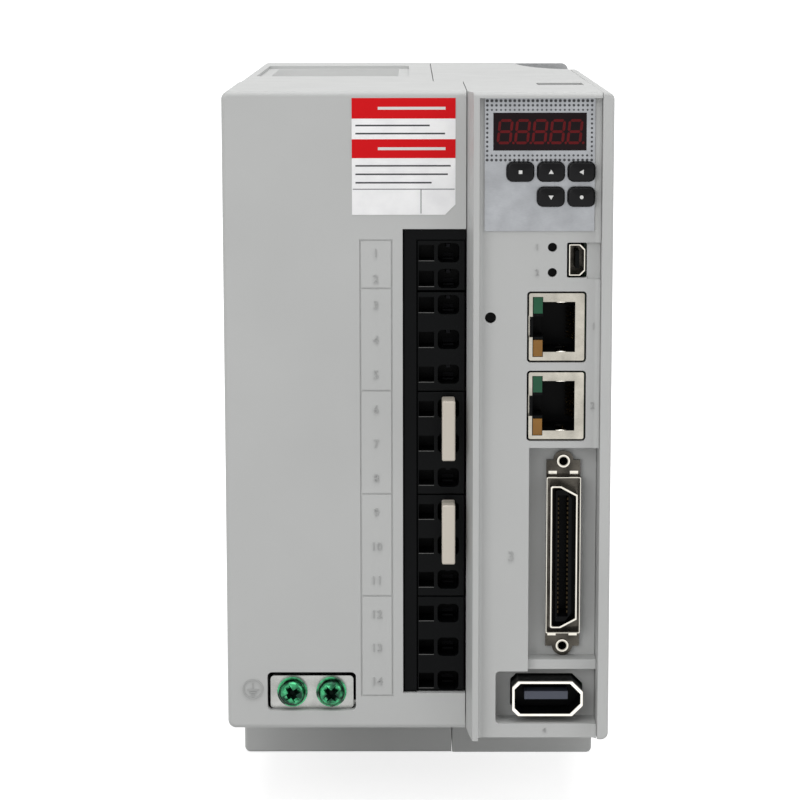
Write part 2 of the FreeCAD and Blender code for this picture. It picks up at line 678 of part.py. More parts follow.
def key(name):
    """Domed cap that passes through the panel, on a flange that stops behind it."""
    x, drop = key_places()[name]
    z = up(drop)
    front = y_panel - overlay_thick - key_proud
    cap = window(x - key_width / 2, x + key_width / 2, z - key_height / 2, z + key_height / 2,
                 front, y_panel + 3.1, 1.55)
    cap = rounded(cap, 0.7, lambda e, c: near(c.y, front))
    reach = key_height / 2 + key_gap + key_lip - 0.15
    flange = block(x - key_width / 2 + 1.2, x + key_width / 2 - 1.2, y_panel + 2.4, y_panel + 3.1,
                   z - reach, z + reach)
    return fused([cap, flange])


def keypad_mat():
    top = min(drop for _, drop in key_places().values()) - key_height / 2 - 1.0
    end = max(drop for _, drop in key_places().values()) + key_height / 2 + 1.0
    x0, x1 = key_left - key_width / 2 - 1, key_left + 2 * key_pitch_x + key_width / 2 + 0.2
    return block(x0, x1, y_panel + 3.1 + key_travel + 0.1, y_panel + 4.7, up(end), up(top))


def display_board():
    """Board behind the panel: wide above for the display and keys, stepped below for the lamps."""
    x0, y0 = control_left + wall + 0.6, y_panel + 4.7
    y1 = y0 + board_thick
    upper = block(x0, board_x - 0.3, y0, y1, up(overlay_drop + overlay_height), up(overlay_drop + 1.5))
    middle = block(x0, usb_left - 0.4, y0, y1, up(jack_drops[0] - 1.5), up(overlay_drop + overlay_height))
    lower = block(x0, jack_left - 0.4, y0, y1, up(charge_drop + 4), up(jack_drops[0] - 1.5))
    return fused([upper, middle, lower])


def indicator_leds():
    """Three lenses behind the panel's round holes."""
    y0, length = y_panel + 1.2, 3.5
    lenses = [rod(led_x, y0, up(drop), led_r - 0.1, length) for drop in led_drops]
    lenses.append(rod(charge_x, y0, up(charge_drop), charge_r - 0.1, length))
    return Part.makeCompound(lenses)


def jack_frames():
    """(left, right, low, high) of each network jack's metal shield."""
    return [(jack_left + jack_edge, jack_left + jack_width - jack_edge, up(drop + jack_height) + jack_edge,
             up(drop) - jack_edge) for drop in jack_drops]


def jack_mouths(grow=0.0):
    """Each jack's mouth: the main opening with the latch notch on its left."""
    made = []
    for x0, x1, z0, z1 in jack_frames():
        mid = (z0 + z1) / 2
        left = jack_left + mouth_left - grow
        tall = mouth_height / 2 + grow
        made.append((left, left + mouth_width + 2 * grow, mid - tall, mid + tall,
                     x0 + 1.0 - grow, mid - 2.6 - grow, mid + 2.6 + grow))
    return made


def ethernet_shields():
    made = []
    for (x0, x1, z0, z1), m in zip(jack_frames(), jack_mouths(0.0)):
        body = window(x0, x1, z0, z1, y_panel + 0.4, y_panel + 0.4 + jack_depth, 0.5)
        hollow = block(x0 + 0.3, x1 - 0.3, y_panel + 1.0, y_panel + jack_depth + 1, z0 + 0.3, z1 - 0.3)
        face = y_panel - 1, y_panel + 3
        body = body.cut(hollow)
        body = body.cut(block(m[0], m[1], *face, m[2], m[3]))
        body = body.cut(block(x0 + 0.9, m[0] + 0.01, *face, z0 + 0.9, z1 - 0.9))
        body = body.cut(block(x0 - 1, x0 + 1, *face, m[5], m[6]))
        made.append(body)
    return Part.makeCompound(made)


def light_pipe_places():
    """(x0, x1, z0, z1) for the upper and lower pipe of each jack."""
    made = []
    for x0, x1, z0, z1 in jack_frames():
        made.append(((x0 + 1.1, jack_left + mouth_left - 0.1, z1 - 5.1, z1 - 1.0),
                     (x0 + 1.1, jack_left + mouth_left - 0.1, z0 + 1.0, z0 + 5.1)))
    return made


def light_pipes(which):
    y0 = y_panel + 0.7
    return Part.makeCompound([block(p[which][0], p[which][1], y0, y0 + 8, p[which][2], p[which][3])
                              for p in light_pipe_places()])


def ethernet_inserts():
    """Black plastic body of each jack, with the plug's cavity."""
    made = []
    for (x0, x1, z0, z1), m, pipes in zip(jack_frames(), jack_mouths(0.0), light_pipe_places()):
        y0 = y_panel + 1.05
        body = block(x0 + 0.35, x1 - 0.35, y0, y_panel + jack_depth, z0 + 0.35, z1 - 0.35)
        body = body.cut(block(m[0], m[1], y0 - 1, y0 + 13, m[2], m[3]))
        body = body.cut(block(m[4], m[0] + 0.01, y0 - 1, y0 + 9, m[5], m[6]))
        for p in pipes:
            body = body.cut(block(p[0] - 0.05, p[1] + 0.05, y0 - 1, y0 + 8, p[2] - 0.05, p[3] + 0.05))
        made.append(body)
    return Part.makeCompound(made)


def ethernet_contacts():
    """Eight sprung contacts in each jack, along the mouth's right wall."""
    made = []
    for m in jack_mouths():
        mid = (m[2] + m[3]) / 2
        for i in range(8):
            z = mid + (i - 3.5) * 1.02
            wire = Part.makePolygon([FreeCAD.Vector(m[1], y_panel + 4.0, z - 0.2),
                                     FreeCAD.Vector(m[1], y_panel + 12.5, z - 0.2),
                                     FreeCAD.Vector(m[1] - 0.4, y_panel + 12.5, z - 0.2),
                                     FreeCAD.Vector(m[1] - 1.9, y_panel + 10.0, z - 0.2),
                                     FreeCAD.Vector(m[1], y_panel + 4.0, z - 0.2)])
            made.append(Part.Face(wire).extrude(FreeCAD.Vector(0, 0, 0.4)))
    return Part.makeCompound(made)


def usb_outline(grow, y0, y1):
    """Mini socket outline, turned on its side: full width left, tapered right."""
    x0, x1 = usb_left + 0.6 - grow, board_x + grow
    z0, z1 = up(usb_drop + usb_height) + 0.55 - grow, up(usb_drop) - 0.55 + grow
    return prism([(x0, z0), (x1 - 1.2, z0), (x1, z0 + 1.2), (x1, z1 - 1.2), (x1 - 1.2, z1), (x0, z1)], y0, y1)


def usb_shell():
    outer = usb_outline(0.0, y_panel + 0.5, y_panel + usb_depth)
    return outer.cut(usb_outline(-0.3, y_panel, y_panel + usb_depth - 0.5))


def usb_tongue():
    z0, z1 = up(usb_drop + usb_height) + 2.2, up(usb_drop) - 2.2
    x = usb_left + usb_width / 2 + 0.2
    return block(x - 0.5, x + 0.5, y_panel + 2.0, y_panel + usb_depth - 0.5, z0, z1)


def io_outline(grow, y0, y1):
    """D-shaped outline of the wide connector: long on the left, tapered ends towards the right."""
    x0, x1 = io_centre_x - io_shell_width / 2 - grow, io_centre_x + io_shell_width / 2 + grow
    half = io_shell_height / 2 + grow
    z = up(io_centre_drop)
    points = [(x0, z - half), (x0 + 2.6, z - half), (x1, z - half + 2.2), (x1, z + half - 2.2),
              (x0 + 2.6, z + half), (x0, z + half)]
    return rounded(prism(points, y0, y1), 0.5, lambda e, c: along(e, Y_AXIS))


def io_shell():
    """Metal bracket with two screw ears, a raised frame and the D-shaped shroud."""
    z = up(io_centre_drop)
    half_width, reach = 4.3, io_screw_pitch / 2
    plate = block(io_centre_x - half_width, io_centre_x + half_width, y_well - 1.2, y_well,
                  z - reach - 0.2, z + reach + 0.2)
    ears = [rod(io_centre_x, y_well - 1.2, z + s * reach, 2.6, 1.2) for s in (-1, 1)]
    frame_half = io_shell_height / 2 + 1.9
    frame = block(io_centre_x - half_width, io_centre_x + half_width, y_well - 4.0, y_well - 1.2,
                  z - frame_half, z + frame_half)
    inner = block(io_centre_x - half_width + 0.4, io_centre_x + half_width - 0.4, y_well - 5, y_well - 1.2,
                  z - frame_half + 0.4, z + frame_half - 0.4)
    shroud = io_outline(0.0, y_well - 6.2, y_well + 3.0)
    body = fused([plate, frame.cut(inner), shroud] + ears)
    body = body.cut(io_outline(-0.45, y_well - 7, y_well + 4))
    for s in (-1, 1):
        body = body.cut(rod(io_centre_x, y_well - 2, z + s * reach, 1.6, 3))
        for side in (-1, 1):
            x = io_centre_x + side * 2.7
            zs = z + s * (reach - 3.0)
            body = body.cut(block(x - 1.05, x + 1.05, y_well - 2, y_well, zs - 0.45, zs + 0.45))
    return body


def io_insulator():
    """Black contact body with one long slot between the two contact rows."""
    z = up(io_centre_drop)
    foot = block(io_centre_x, board_x, y_well + 9.5, y_well + 12.0,
                 z - io_shell_height / 2 + 3.0, z + io_shell_height / 2 - 3.0)
    body = fused([io_outline(-0.5, y_well - 4.6, y_well + 12.0), foot])
    slot = block(io_centre_x - 1.5, io_centre_x + 1.2, y_well - 5.5, y_well + 2.0,
                 z - io_shell_height / 2 + 2.6, z + io_shell_height / 2 - 2.6)
    moat = io_outline(-0.5, y_well - 5, y_well - 2.0).cut(io_outline(-1.3, y_well - 6, y_well - 1))
    return body.cut(slot).cut(moat)


def io_jack_nuts():
    z = up(io_centre_drop)
    ends = (z - io_screw_pitch / 2, z + io_screw_pitch / 2)
    return Part.makeCompound([ring(io_centre_x, y_well - 1.8, end, 1.6, io_screw_r, 6.0) for end in ends])


def feedback_outline(grow, y0, y1):
    """Motor feedback socket: square on the left, with long chamfers on the right."""
    x0, x1 = feedback_x - feedback_width / 2 - grow, feedback_x + feedback_width / 2 + grow
    z0, z1 = up(feedback_z_drop) - feedback_tall / 2 - grow, up(feedback_z_drop) + feedback_tall / 2 + grow
    small, large = 1.5, 2.7
    return prism([(x0 + small, z0), (x1 - large, z0), (x1, z0 + large), (x1, z1 - large),
                  (x1 - large, z1), (x0 + small, z1), (x0, z1 - small), (x0, z0 + small)], y0, y1)


def feedback_shell():
    outer = feedback_outline(0.0, y_panel + 0.8, y_well + 4.0)
    return outer.cut(feedback_outline(-0.5, y_panel, y_well + 5.0))


def feedback_insulator():
    body = feedback_outline(-0.55, y_well + 1.0, y_well + feedback_long)
    z = up(feedback_z_drop) + 0.5
    tongue = block(feedback_x - 5.8, feedback_x + 5.2, y_panel + 2.6, y_well + 1.0, z - 1.0, z + 1.0)
    foot = block(feedback_x, board_x, y_well + 9.5, y_well + feedback_long, z - 3.0, z + 3.0)
    return fused([body, tongue, foot])


def sto_header():
    """Safety header below the top opening, with two rows of pins in a shrouded well."""
    x0, x1 = sto_x - sto_width / 2 + 0.4, board_x
    y0, y1 = sto_y - sto_length / 2 + 0.4, sto_y + sto_length / 2 - 0.4
    z1 = total_height - wall - 0.4
    body = block(x0, x1, y0, y1, z1 - 11.0, z1)
    body = body.cut(block(x0 + 1.0, x1 - 1.0, y0 + 1.0, y1 - 1.0, z1 - 9.0, z1 + 1))
    middle = (x0 + x1) / 2
    pins = [block(middle + (i - 1.5) * 2.0 - 0.3, middle + (i - 1.5) * 2.0 + 0.3, sto_y + s * 2.0 - 0.3,
                  sto_y + s * 2.0 + 0.3, z1 - 9.0, z1 - 5.5) for i in range(4) for s in (-1, 1)]
    return fused([body] + pins)


# Boards and what stands on them

def control_board():
    """Board beside the side cover, cut back round the connector wells."""
    low, high = up(cover_height) + 5.0, total_height - 5.0
    body = block(board_x, board_x + board_thick, y_panel + 6.0, side_depth - 6.0, low, high)
    body = body.cut(block(board_x - 1, board_x + 3, y_panel, y_well + 9.0, low - 1, up(io_drop) + 2.5))
    for y, z in control_screw_places():
        body = body.cut(rod(board_x - 1, y, z, 1.6, board_thick + 2, X_AXIS))
    return body


def power_board():
    body = block(power_board_x, power_board_x + board_thick, wall + 1.0, side_depth - 6.0,
                 up(cover_height) + 5.0, total_height - 5.0)
    for y, z in power_screw_places():
        body = body.cut(rod(power_board_x - 1, y, z, 1.6, board_thick + 2, X_AXIS))
    return body


def board_screws():
    made = []
    for y, z in power_screw_places():
        x = power_board_x + board_thick
        length = board_thick + board_screw_depth
        shank = rod(x - length, y, z, pilot_r, length, X_AXIS)
        made.append(fused([rod(x, y, z, 2.8, 1.8, X_AXIS), shank]))
    for y, z in control_screw_places():
        shank = rod(board_x, y, z, pilot_r, board_thick + gap_to_board(), X_AXIS)
        made.append(fused([rod(board_x - 1.8, y, z, 2.8, 1.8, X_AXIS), shank]))
    return Part.makeCompound(made)


def case_screws():
    """Flush screws that hold the back plate to the casing bosses."""
    made = []
    for x, z in left_boss_places() + sink_boss_places():
        made.append(fused([rod(x, body_depth - 1.8, z, 2.8, 1.6), rod(x, y_plate - 8.0, z, pilot_r, 10.0)]))
    return Part.makeCompound(made)


def bus_capacitors():
    """Six cans standing on the power board, their axes along X."""
    length = power_board_x - case_inset - wall - 3.0
    cans = []
    for i in range(2):
        for j in range(3):
            y = y_plate - 75.0 - i * can_pitch
            z = chin_height + 26.0 + j * can_pitch
            can = rod(power_board_x - length, y, z, can_r, length, X_AXIS)
            cans.append(rounded(can, 1.5, lambda e, c: near(c.x, power_board_x - length)))
    return Part.makeCompound(cans)


def filter_choke():
    """Ring core standing in front of the capacitors."""
    y, z = 32.0, up(58.0)
    core = ring(power_board_x - 16.0, y, z, 15.0, 7.0, 12.0, X_AXIS)
    foot = block(power_board_x - 4.0, power_board_x, y - 12, y + 12, z - 12, z + 12)
    return Part.makeCompound([core, foot])


def relays():
    return Part.makeCompound([block(power_board_x - 15.0, power_board_x, 14.0, 34.0, z, z + 12.0)
                              for z in (up(110.0), up(128.0))])


def module_base():
    return total_height / 2 - module_height / 2


def power_module():
    return block(module_left, module_left + module_width, side_depth - module_thick, side_depth,
                 module_base(), module_base() + module_height)


def parts():
    """Node name to shape."""
    made = {
        "power_cover": power_cover(), "control_cover": control_cover(), "side_cover": side_cover(),
        "left_case": left_case(), "right_case": right_case(), "back_plate": back_plate(),
        "heat_sink": heat_sink(), "fan_frame": fan_frame(), "fan_rotor": fan_rotor(),
        "fan_guard": fan_guard(),
        "terminal_header": terminal_header(), "header_pins": header_pins(),
        "earth_bracket": earth_bracket(), "earth_screws": earth_screws(), "earth_washers": earth_washers(),
        "front_label": front_label(), "keypad_overlay": keypad_overlay(), "display_window": display_window(),
        "display_module": display_module(), "keypad_mat": keypad_mat(), "display_board": display_board(),
        "indicator_leds": indicator_leds(), "ethernet_shields": ethernet_shields(),
        "ethernet_inserts": ethernet_inserts(), "ethernet_contacts": ethernet_contacts(),
        "link_light_pipes": light_pipes(0), "activity_light_pipes": light_pipes(1),
        "usb_shell": usb_shell(), "usb_tongue": usb_tongue(), "io_shell": io_shell(),
        "io_insulator": io_insulator(), "io_jack_nuts": io_jack_nuts(), "feedback_shell": feedback_shell(),
        "feedback_insulator": feedback_insulator(), "sto_header": sto_header(),
        "control_board": control_board(), "power_board": power_board(), "board_screws": board_screws(),
        "case_screws": case_screws(), "bus_capacitors": bus_capacitors(), "filter_choke": filter_choke(),
        "relays": relays(), "power_module": power_module(),
    }
    for name in key_places():
        made[name] = key(name)
    names = ("supply", "mains", "shunt", "bus", "motor")
    rows = [small_rows()] + [main_rows(p) for p in range(main_plugs)]
    for name, poles in zip(names, rows):
        made["plug_" + name] = plug(poles)
        made["clamps_" + name] = clamps(poles)
    made["jumper_upper"] = jumper(main_rows(1)[:2])
    made["jumper_lower"] = jumper(main_rows(2)[:2])
    return made


def main():
    os.makedirs("parts", exist_ok=True)
    shift = FreeCAD.Vector(-total_width / 2, -(body_depth + y_rim) / 2, 0)
    for name, shape in parts().items():
        shape = shape.copy()
        shape.translate(shift)
        if not shape.isValid() or not shape.Solids:
            print("check", name)
        shape.exportStep("parts/" + name + ".step")
        print(name, len(shape.Solids), round(shape.Volume, 1))


main()
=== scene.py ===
import json
import math

import bmesh
import bpy
import numpy as np
from mathutils import Matrix, Vector


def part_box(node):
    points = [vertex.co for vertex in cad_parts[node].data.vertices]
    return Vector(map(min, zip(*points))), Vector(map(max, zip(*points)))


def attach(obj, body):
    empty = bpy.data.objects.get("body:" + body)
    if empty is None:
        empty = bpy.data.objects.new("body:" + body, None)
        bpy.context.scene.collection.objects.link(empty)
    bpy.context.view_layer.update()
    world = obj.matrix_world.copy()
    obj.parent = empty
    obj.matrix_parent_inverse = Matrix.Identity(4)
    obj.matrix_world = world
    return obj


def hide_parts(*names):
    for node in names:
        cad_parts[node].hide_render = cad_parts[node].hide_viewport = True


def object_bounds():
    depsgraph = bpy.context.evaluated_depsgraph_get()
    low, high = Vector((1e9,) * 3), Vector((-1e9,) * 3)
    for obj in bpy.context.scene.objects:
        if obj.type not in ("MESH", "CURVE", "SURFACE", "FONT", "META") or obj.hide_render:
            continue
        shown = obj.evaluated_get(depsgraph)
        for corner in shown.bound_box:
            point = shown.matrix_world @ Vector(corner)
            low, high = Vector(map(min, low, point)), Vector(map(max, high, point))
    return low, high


# Servo drive: the CAD nodes carry the shape, and this script gives them soft edges, finishes and the
# small parts that only show. Metres, +Z up, the front faces -Y.
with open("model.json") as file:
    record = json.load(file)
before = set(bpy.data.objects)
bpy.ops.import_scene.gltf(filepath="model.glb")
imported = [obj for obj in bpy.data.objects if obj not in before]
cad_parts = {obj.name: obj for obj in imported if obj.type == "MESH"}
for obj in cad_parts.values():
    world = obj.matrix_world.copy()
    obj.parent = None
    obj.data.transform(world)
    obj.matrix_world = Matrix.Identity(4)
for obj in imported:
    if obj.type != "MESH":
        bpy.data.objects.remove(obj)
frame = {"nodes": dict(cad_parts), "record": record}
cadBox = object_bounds()
mm = 0.001
housing = "housing"

low, high = (np.array(corner) for corner in cadBox)
leftSide, topSide = low[0], high[2]
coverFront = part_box("power_cover")[0][1]
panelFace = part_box("keypad_overlay")[1][1]


def place(x, y, drop):
    # A point given in mm from the left side, the power cover's face and the top.
    return np.array([leftSide + x * mm, coverFront + y * mm, topSide - drop * mm])


def tone(red, green, blue):
    # Screen colour 0-255 to the linear colour that shaders take.
    c = np.array([red, green, blue]) / 255
    return tuple(np.where(c <= 0.04045, c / 12.92, ((c + 0.055) / 1.055) ** 2.4))


# Shader helpers

class Finish:
    # One material and short ways to wire its nodes.

    def __init__(self, name, color, roughness=0.5, metallic=0.0, specular=0.5):
        self.material = bpy.data.materials.new(name)
        self.material.use_nodes = True
        self.nodes = self.material.node_tree.nodes
        self.links = self.material.node_tree.links
        self.shader = self.nodes["Principled BSDF"]
        self.set("Base Color", (*color, 1))
        self.set("Roughness", roughness)
        self.set("Metallic", metallic)
        self.set("Specular IOR Level", specular)
        self.color = color

    def set(self, socket, value):
        self.shader.inputs[socket].default_value = value

    def coords(self, stretch=(1, 1, 1)):
        source = self.nodes.new("ShaderNodeTexCoord")
        mapping = self.nodes.new("ShaderNodeMapping")
        mapping.inputs["Scale"].default_value = stretch
        self.links.new(source.outputs["Object"], mapping.inputs["Vector"])
        return mapping.outputs["Vector"]

    def noise(self, size, detail=3.0, stretch=(1, 1, 1), rough=0.5):
        # Noise whose blotches are about this many metres across.
        node = self.nodes.new("ShaderNodeTexNoise")
        node.inputs["Scale"].default_value = 1 / size
        node.inputs["Detail"].default_value = detail
        node.inputs["Roughness"].default_value = rough
        self.links.new(self.coords(stretch), node.inputs["Vector"])
        return node.outputs["Fac"]

    def spread(self, value, start, end, lowest, highest):
        # Maps value from start..end to lowest..highest.
        node = self.nodes.new("ShaderNodeMapRange")
        for socket, number in zip(("From Min", "From Max", "To Min", "To Max"), (start, end, lowest, highest)):
            node.inputs[socket].default_value = number
        self.links.new(value, node.inputs["Value"])
        return node.outputs["Result"]

    def blend(self, value, first, second):
        # Colour between first and second by a 0-1 value.
        node = self.nodes.new("ShaderNodeMix")
        node.data_type = "RGBA"
        node.inputs["A"].default_value = (*first, 1)
        node.inputs["B"].default_value = (*second, 1)
        self.links.new(value, node.inputs["Factor"])
        return node.outputs["Result"]

    def paint(self, value, first, second):
        self.links.new(self.blend(value, first, second), self.shader.inputs["Base Color"])

    def gloss(self, value, lowest, highest):
        self.links.new(self.spread(value, 0.3, 0.7, lowest, highest), self.shader.inputs["Roughness"])

    def bump(self, value, depth, strength=1.0):
        node = self.nodes.new("ShaderNodeBump")
        node.inputs["Distance"].default_value = depth
        node.inputs["Strength"].default_value = strength
        self.links.new(value, node.inputs["Height"])
        self.links.new(node.outputs["Normal"], self.shader.inputs["Normal"])


def shade(color, factor):
    return tuple(min(1.0, c * factor) for c in color)


# Finishes

def moulded(name, color, roughness, grain=0.25 * mm, depth=0.006 * mm, specular=0.35, mottle=0.03):
    # Satin moulding: fine spark-eroded grain, and a slight drift of tone and gloss.
    finish = Finish(name, color, roughness, 0.0, specular)
    drift = finish.noise(45 * mm, 4.0)
    finish.paint(finish.spread(drift, 0.3, 0.7, 0.0, 1.0), shade(color, 1 - mottle), shade(color, 1 + mottle))
    finish.gloss(finish.noise(9 * mm, 5.0), roughness - 0.04, roughness + 0.05)
    finish.bump(finish.noise(grain, 2.0), depth)
    return finish.material


def blasted(name, color, roughness=0.42):
    # Cast metal after blasting: coarse grain over slow patches.
    finish = Finish(name, color, roughness, 1.0)
    patches = finish.noise(30 * mm, 7.0, rough=0.65)
    finish.paint(finish.spread(patches, 0.3, 0.7, 0.0, 1.0), shade(color, 0.93), shade(color, 1.05))
    finish.gloss(finish.noise(1.2 * mm, 4.0), roughness - 0.08, roughness + 0.12)
    finish.bump(finish.noise(0.45 * mm, 4.0), 0.02 * mm)
    return finish.material


def brushed(name, color, roughness=0.28, along=(1, 1, 12), dark=0.88, pale=1.08):
    # Rolled or plated sheet with faint lines across the stretch.
    finish = Finish(name, color, roughness, 1.0)
    lines = finish.noise(0.8 * mm, 3.0, along)
    patches = finish.spread(finish.noise(5 * mm, 3.0), 0.3, 0.7, 0.0, 1.0)
    finish.paint(patches, shade(color, dark), shade(color, pale))
    finish.gloss(lines, roughness - 0.08, roughness + 0.1)
    finish.bump(lines, 0.004 * mm)
    return finish.material


def polished(name, color, roughness=0.14):
    finish = Finish(name, color, roughness, 1.0)
    finish.paint(finish.spread(finish.noise(3 * mm, 3.0), 0.3, 0.7, 0.0, 1.0), shade(color, 0.93), shade(color, 1.05))
    finish.gloss(finish.noise(1.5 * mm, 4.0), roughness - 0.05, roughness + 0.08)
    return finish.material


def passivated(name):
    # Glossy green passivation over zinc; its patches from dark to pale green are painted reflections over a slight
    # drift of its own tone.
    finish = Finish(name, tone(12, 84, 48), 0.16, 0.9)
    # Small patches from near-black to pale green: painted reflections on the glossy heads.
    finish.paint(finish.spread(finish.noise(2.3 * mm, 2.0), 0.4, 0.62, 0.0, 1.0),
                 tone(2, 46, 30), tone(62, 160, 108))
    finish.gloss(finish.noise(0.9 * mm, 4.0), 0.1, 0.2)
    finish.bump(finish.noise(0.5 * mm, 3.0), 0.006 * mm)
    finish.set("Coat Weight", 0.25)
    finish.set("Coat Roughness", 0.06)
    return finish.material


def shiny(name, color, roughness=0.14, specular=0.45):
    # Polished moulding: a clean surface with faint flow marks.
    finish = Finish(name, color, roughness, 0.0, specular)
    finish.paint(finish.spread(finish.noise(6 * mm, 3.0), 0.3, 0.7, 0.0, 1.0), shade(color, 0.9), shade(color, 1.1))
    finish.gloss(finish.noise(2.5 * mm, 4.0), roughness - 0.03, roughness + 0.05)
    return finish.material


def circuitBoard(name):
    # Green solder mask with darker bare laminate and faint tracks.
    finish = Finish(name, tone(22, 84, 50), 0.3, 0.0, 0.45)
    tracks = finish.noise(1.8 * mm, 1.0, (1, 1, 0.25))
    finish.paint(finish.spread(tracks, 0.48, 0.52, 0.0, 1.0), tone(18, 74, 44), tone(34, 104, 62))
    finish.gloss(finish.noise(3 * mm, 3.0), 0.25, 0.4)
    return finish.material


def sleeve(name):
    # Shrunk black-blue sleeve with a pale stripe left to the light.
    finish = Finish(name, tone(28, 32, 44), 0.25, 0.0, 0.45)
    finish.paint(finish.spread(finish.noise(8 * mm, 3.0), 0.3, 0.7, 0.0, 1.0), tone(22, 26, 38), tone(36, 40, 54))
    finish.gloss(finish.noise(2 * mm, 3.0), 0.2, 0.32)
    return finish.material


finishes = {
    "case_plastic": moulded("case_plastic", tone(191, 192, 191), 0.46),
    # The raised marks' finish: the casing plastic a shade darker, as painted shade of their relief.
    "case_painted_shade": moulded("case_painted_shade", tone(170, 171, 170), 0.4),
    "cast_metal": blasted("cast_metal", tone(158, 159, 160)),
    "overlay_film": brushed("overlay_film", tone(150, 152, 155), 0.45, (1, 1, 6)),
    "smoked_window": shiny("smoked_window", tone(24, 10, 14), 0.14, 0.1),
    "display_face": moulded("display_face", tone(40, 20, 20), 0.5),
    "key_plastic": shiny("key_plastic", tone(10, 10, 12), 0.22, 0.14),
    "soft_rubber": moulded("soft_rubber", tone(120, 120, 118), 0.7),
    "circuit_board": circuitBoard("circuit_board"),
    "lamp_lens": shiny("lamp_lens", tone(5, 5, 5), 0.3, 0.05),
    "connector_black": moulded("connector_black", tone(9, 10, 11), 0.36, 0.3 * mm, 0.008 * mm, 0.06, 0.12),
    "fan_plastic": moulded("fan_plastic", tone(22, 22, 23), 0.5, 0.3 * mm, 0.01 * mm, 0.3, 0.1),
    "plated_shield": brushed("plated_shield", tone(170, 166, 156), 0.22, (1, 1, 5), 0.72, 1.12),
    "bright_shell": polished("bright_shell", tone(236, 232, 222), 0.1),
    "contact_metal": polished("contact_metal", tone(206, 176, 110), 0.2),
    "jumper_cream": moulded("jumper_cream", tone(202, 194, 182), 0.3, 0.4 * mm, 0.004 * mm, 0.45, 0.04),
    "green_passivated": passivated("green_passivated"),
    "earth_plate": brushed("earth_plate", tone(164, 165, 162), 0.3, (1, 1, 8), 0.8, 1.14),
    "label_film": shiny("label_film", tone(252, 252, 253), 0.35, 0.3),
    "capacitor_sleeve": sleeve("capacitor_sleeve"),
    "ferrite": moulded("ferrite", tone(62, 64, 66), 0.4),
    "relay_case": moulded("relay_case", tone(30, 42, 84), 0.4),
    "module_case": moulded("module_case", tone(34, 34, 34), 0.5),
    "zinc_steel": brushed("zinc_steel", tone(178, 180, 182), 0.3, (1, 1, 1)),
    "light_pipe_green": shiny("light_pipe_green", tone(16, 84, 54), 0.18, 0.25),
    "light_pipe_amber": shiny("light_pipe_amber", tone(140, 98, 38), 0.18, 0.25),
    "red_print": moulded("red_print", tone(216, 16, 24), 0.45, specular=0.12),
    "grey_print": moulded("grey_print", tone(96, 97, 100), 0.5),
    "dark_print": moulded("dark_print", tone(58, 59, 62), 0.5),
    "white_print": moulded("white_print", tone(224, 224, 222), 0.5),
    "digit_red": shiny("digit_red", tone(98, 20, 24), 0.3, 0.1),
    "carrier_blue": moulded("carrier_blue", tone(74, 78, 90), 0.4),
    # Very dark steel: painted shade, for the clamps and pins that stand deep in their entries.
    "clamp_steel": brushed("clamp_steel", tone(30, 30, 32), 0.5),
    # Dark brass: painted shade on contacts deep in the wide connector's slot.
    "shaded_contact": brushed("shaded_contact", tone(56, 48, 34), 0.45),
    # Nickel plating made dark, with wide patches: painted dark reflection on the shells' faces.
    "nickel_painted_dark_reflection": brushed("nickel_painted_dark_reflection", tone(66, 63, 58), 0.2, (1, 1, 3), 0.4, 1.6),
    # Bright copy of the dark nickel: painted highlight on rims, nut rings and lugs.
    "nickel_painted_highlight": polished("nickel_painted_highlight", tone(206, 202, 192), 0.16),
    # A lighter grey strip: painted highlight on the plugs' slot lips.
    "lip_painted_highlight": moulded("lip_painted_highlight", tone(92, 92, 91), 0.3, specular=0.3),
    # Near-black green for the screws' cross recesses: painted shade.
    "recess_shade": moulded("recess_shade", tone(3, 18, 12), 0.5, specular=0.05),
}
slotOf = {part["node"]: part["material_slot"] for part in frame["record"]["subparts"]}
# The header pins take the dark clamp finish as painted shade deep in their entries.
finishOf = dict(slotOf, header_pins="clamp_steel", usb_shell="nickel_painted_dark_reflection", io_shell="nickel_painted_dark_reflection",
                feedback_shell="connector_black")
for node, piece in frame["nodes"].items():
    piece.data.materials.clear()
    piece.data.materials.append(finishes[finishOf[node]])
print("finishes done")


# Mesh helpers

def gridFaces(rows, columns, wrap=False):
    # Quads of a grid of rows x columns points. wrap joins the last column to the first.
    i, j = np.meshgrid(np.arange(rows - 1), np.arange(columns if wrap else columns - 1), indexing="ij")
    k = (j + 1) % columns
    return np.stack([i * columns + j, i * columns + k, (i + 1) * columns + k, (i + 1) * columns + j], -1).reshape(-1, 4)


def addPiece(name, points, faces, finish, body=housing, replaced=(), smooth=True, outward=False):
    # Puts points and faces into a mesh that rides on a body. outward turns its faces to the outside.
    mesh = bpy.data.meshes.new(name)
    mesh.from_pydata(np.asarray(points, float).reshape(-1, 3).tolist(), [], [list(map(int, f)) for f in faces])
    if outward:
        work = bmesh.new()
        work.from_mesh(mesh)
        bmesh.ops.remove_doubles(work, verts=work.verts, dist=1e-7)
        bmesh.ops.recalc_face_normals(work, faces=work.faces)
        work.to_mesh(mesh)
        work.free()
    mesh.materials.append(finishes[finish])
    mesh.polygons.foreach_set("use_smooth", [smooth] * len(mesh.polygons))
    piece = bpy.data.objects.new(name, mesh)
    bpy.context.scene.collection.objects.link(piece)
    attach(piece, body)
    if replaced:
        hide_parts(*replaced)
    return piece


def bodyOf(node):
    # The moving body that a CAD node belongs to
    return next(body for body, nodes in frame["record"]["behaviour"]["bodies"].items() if node in nodes)


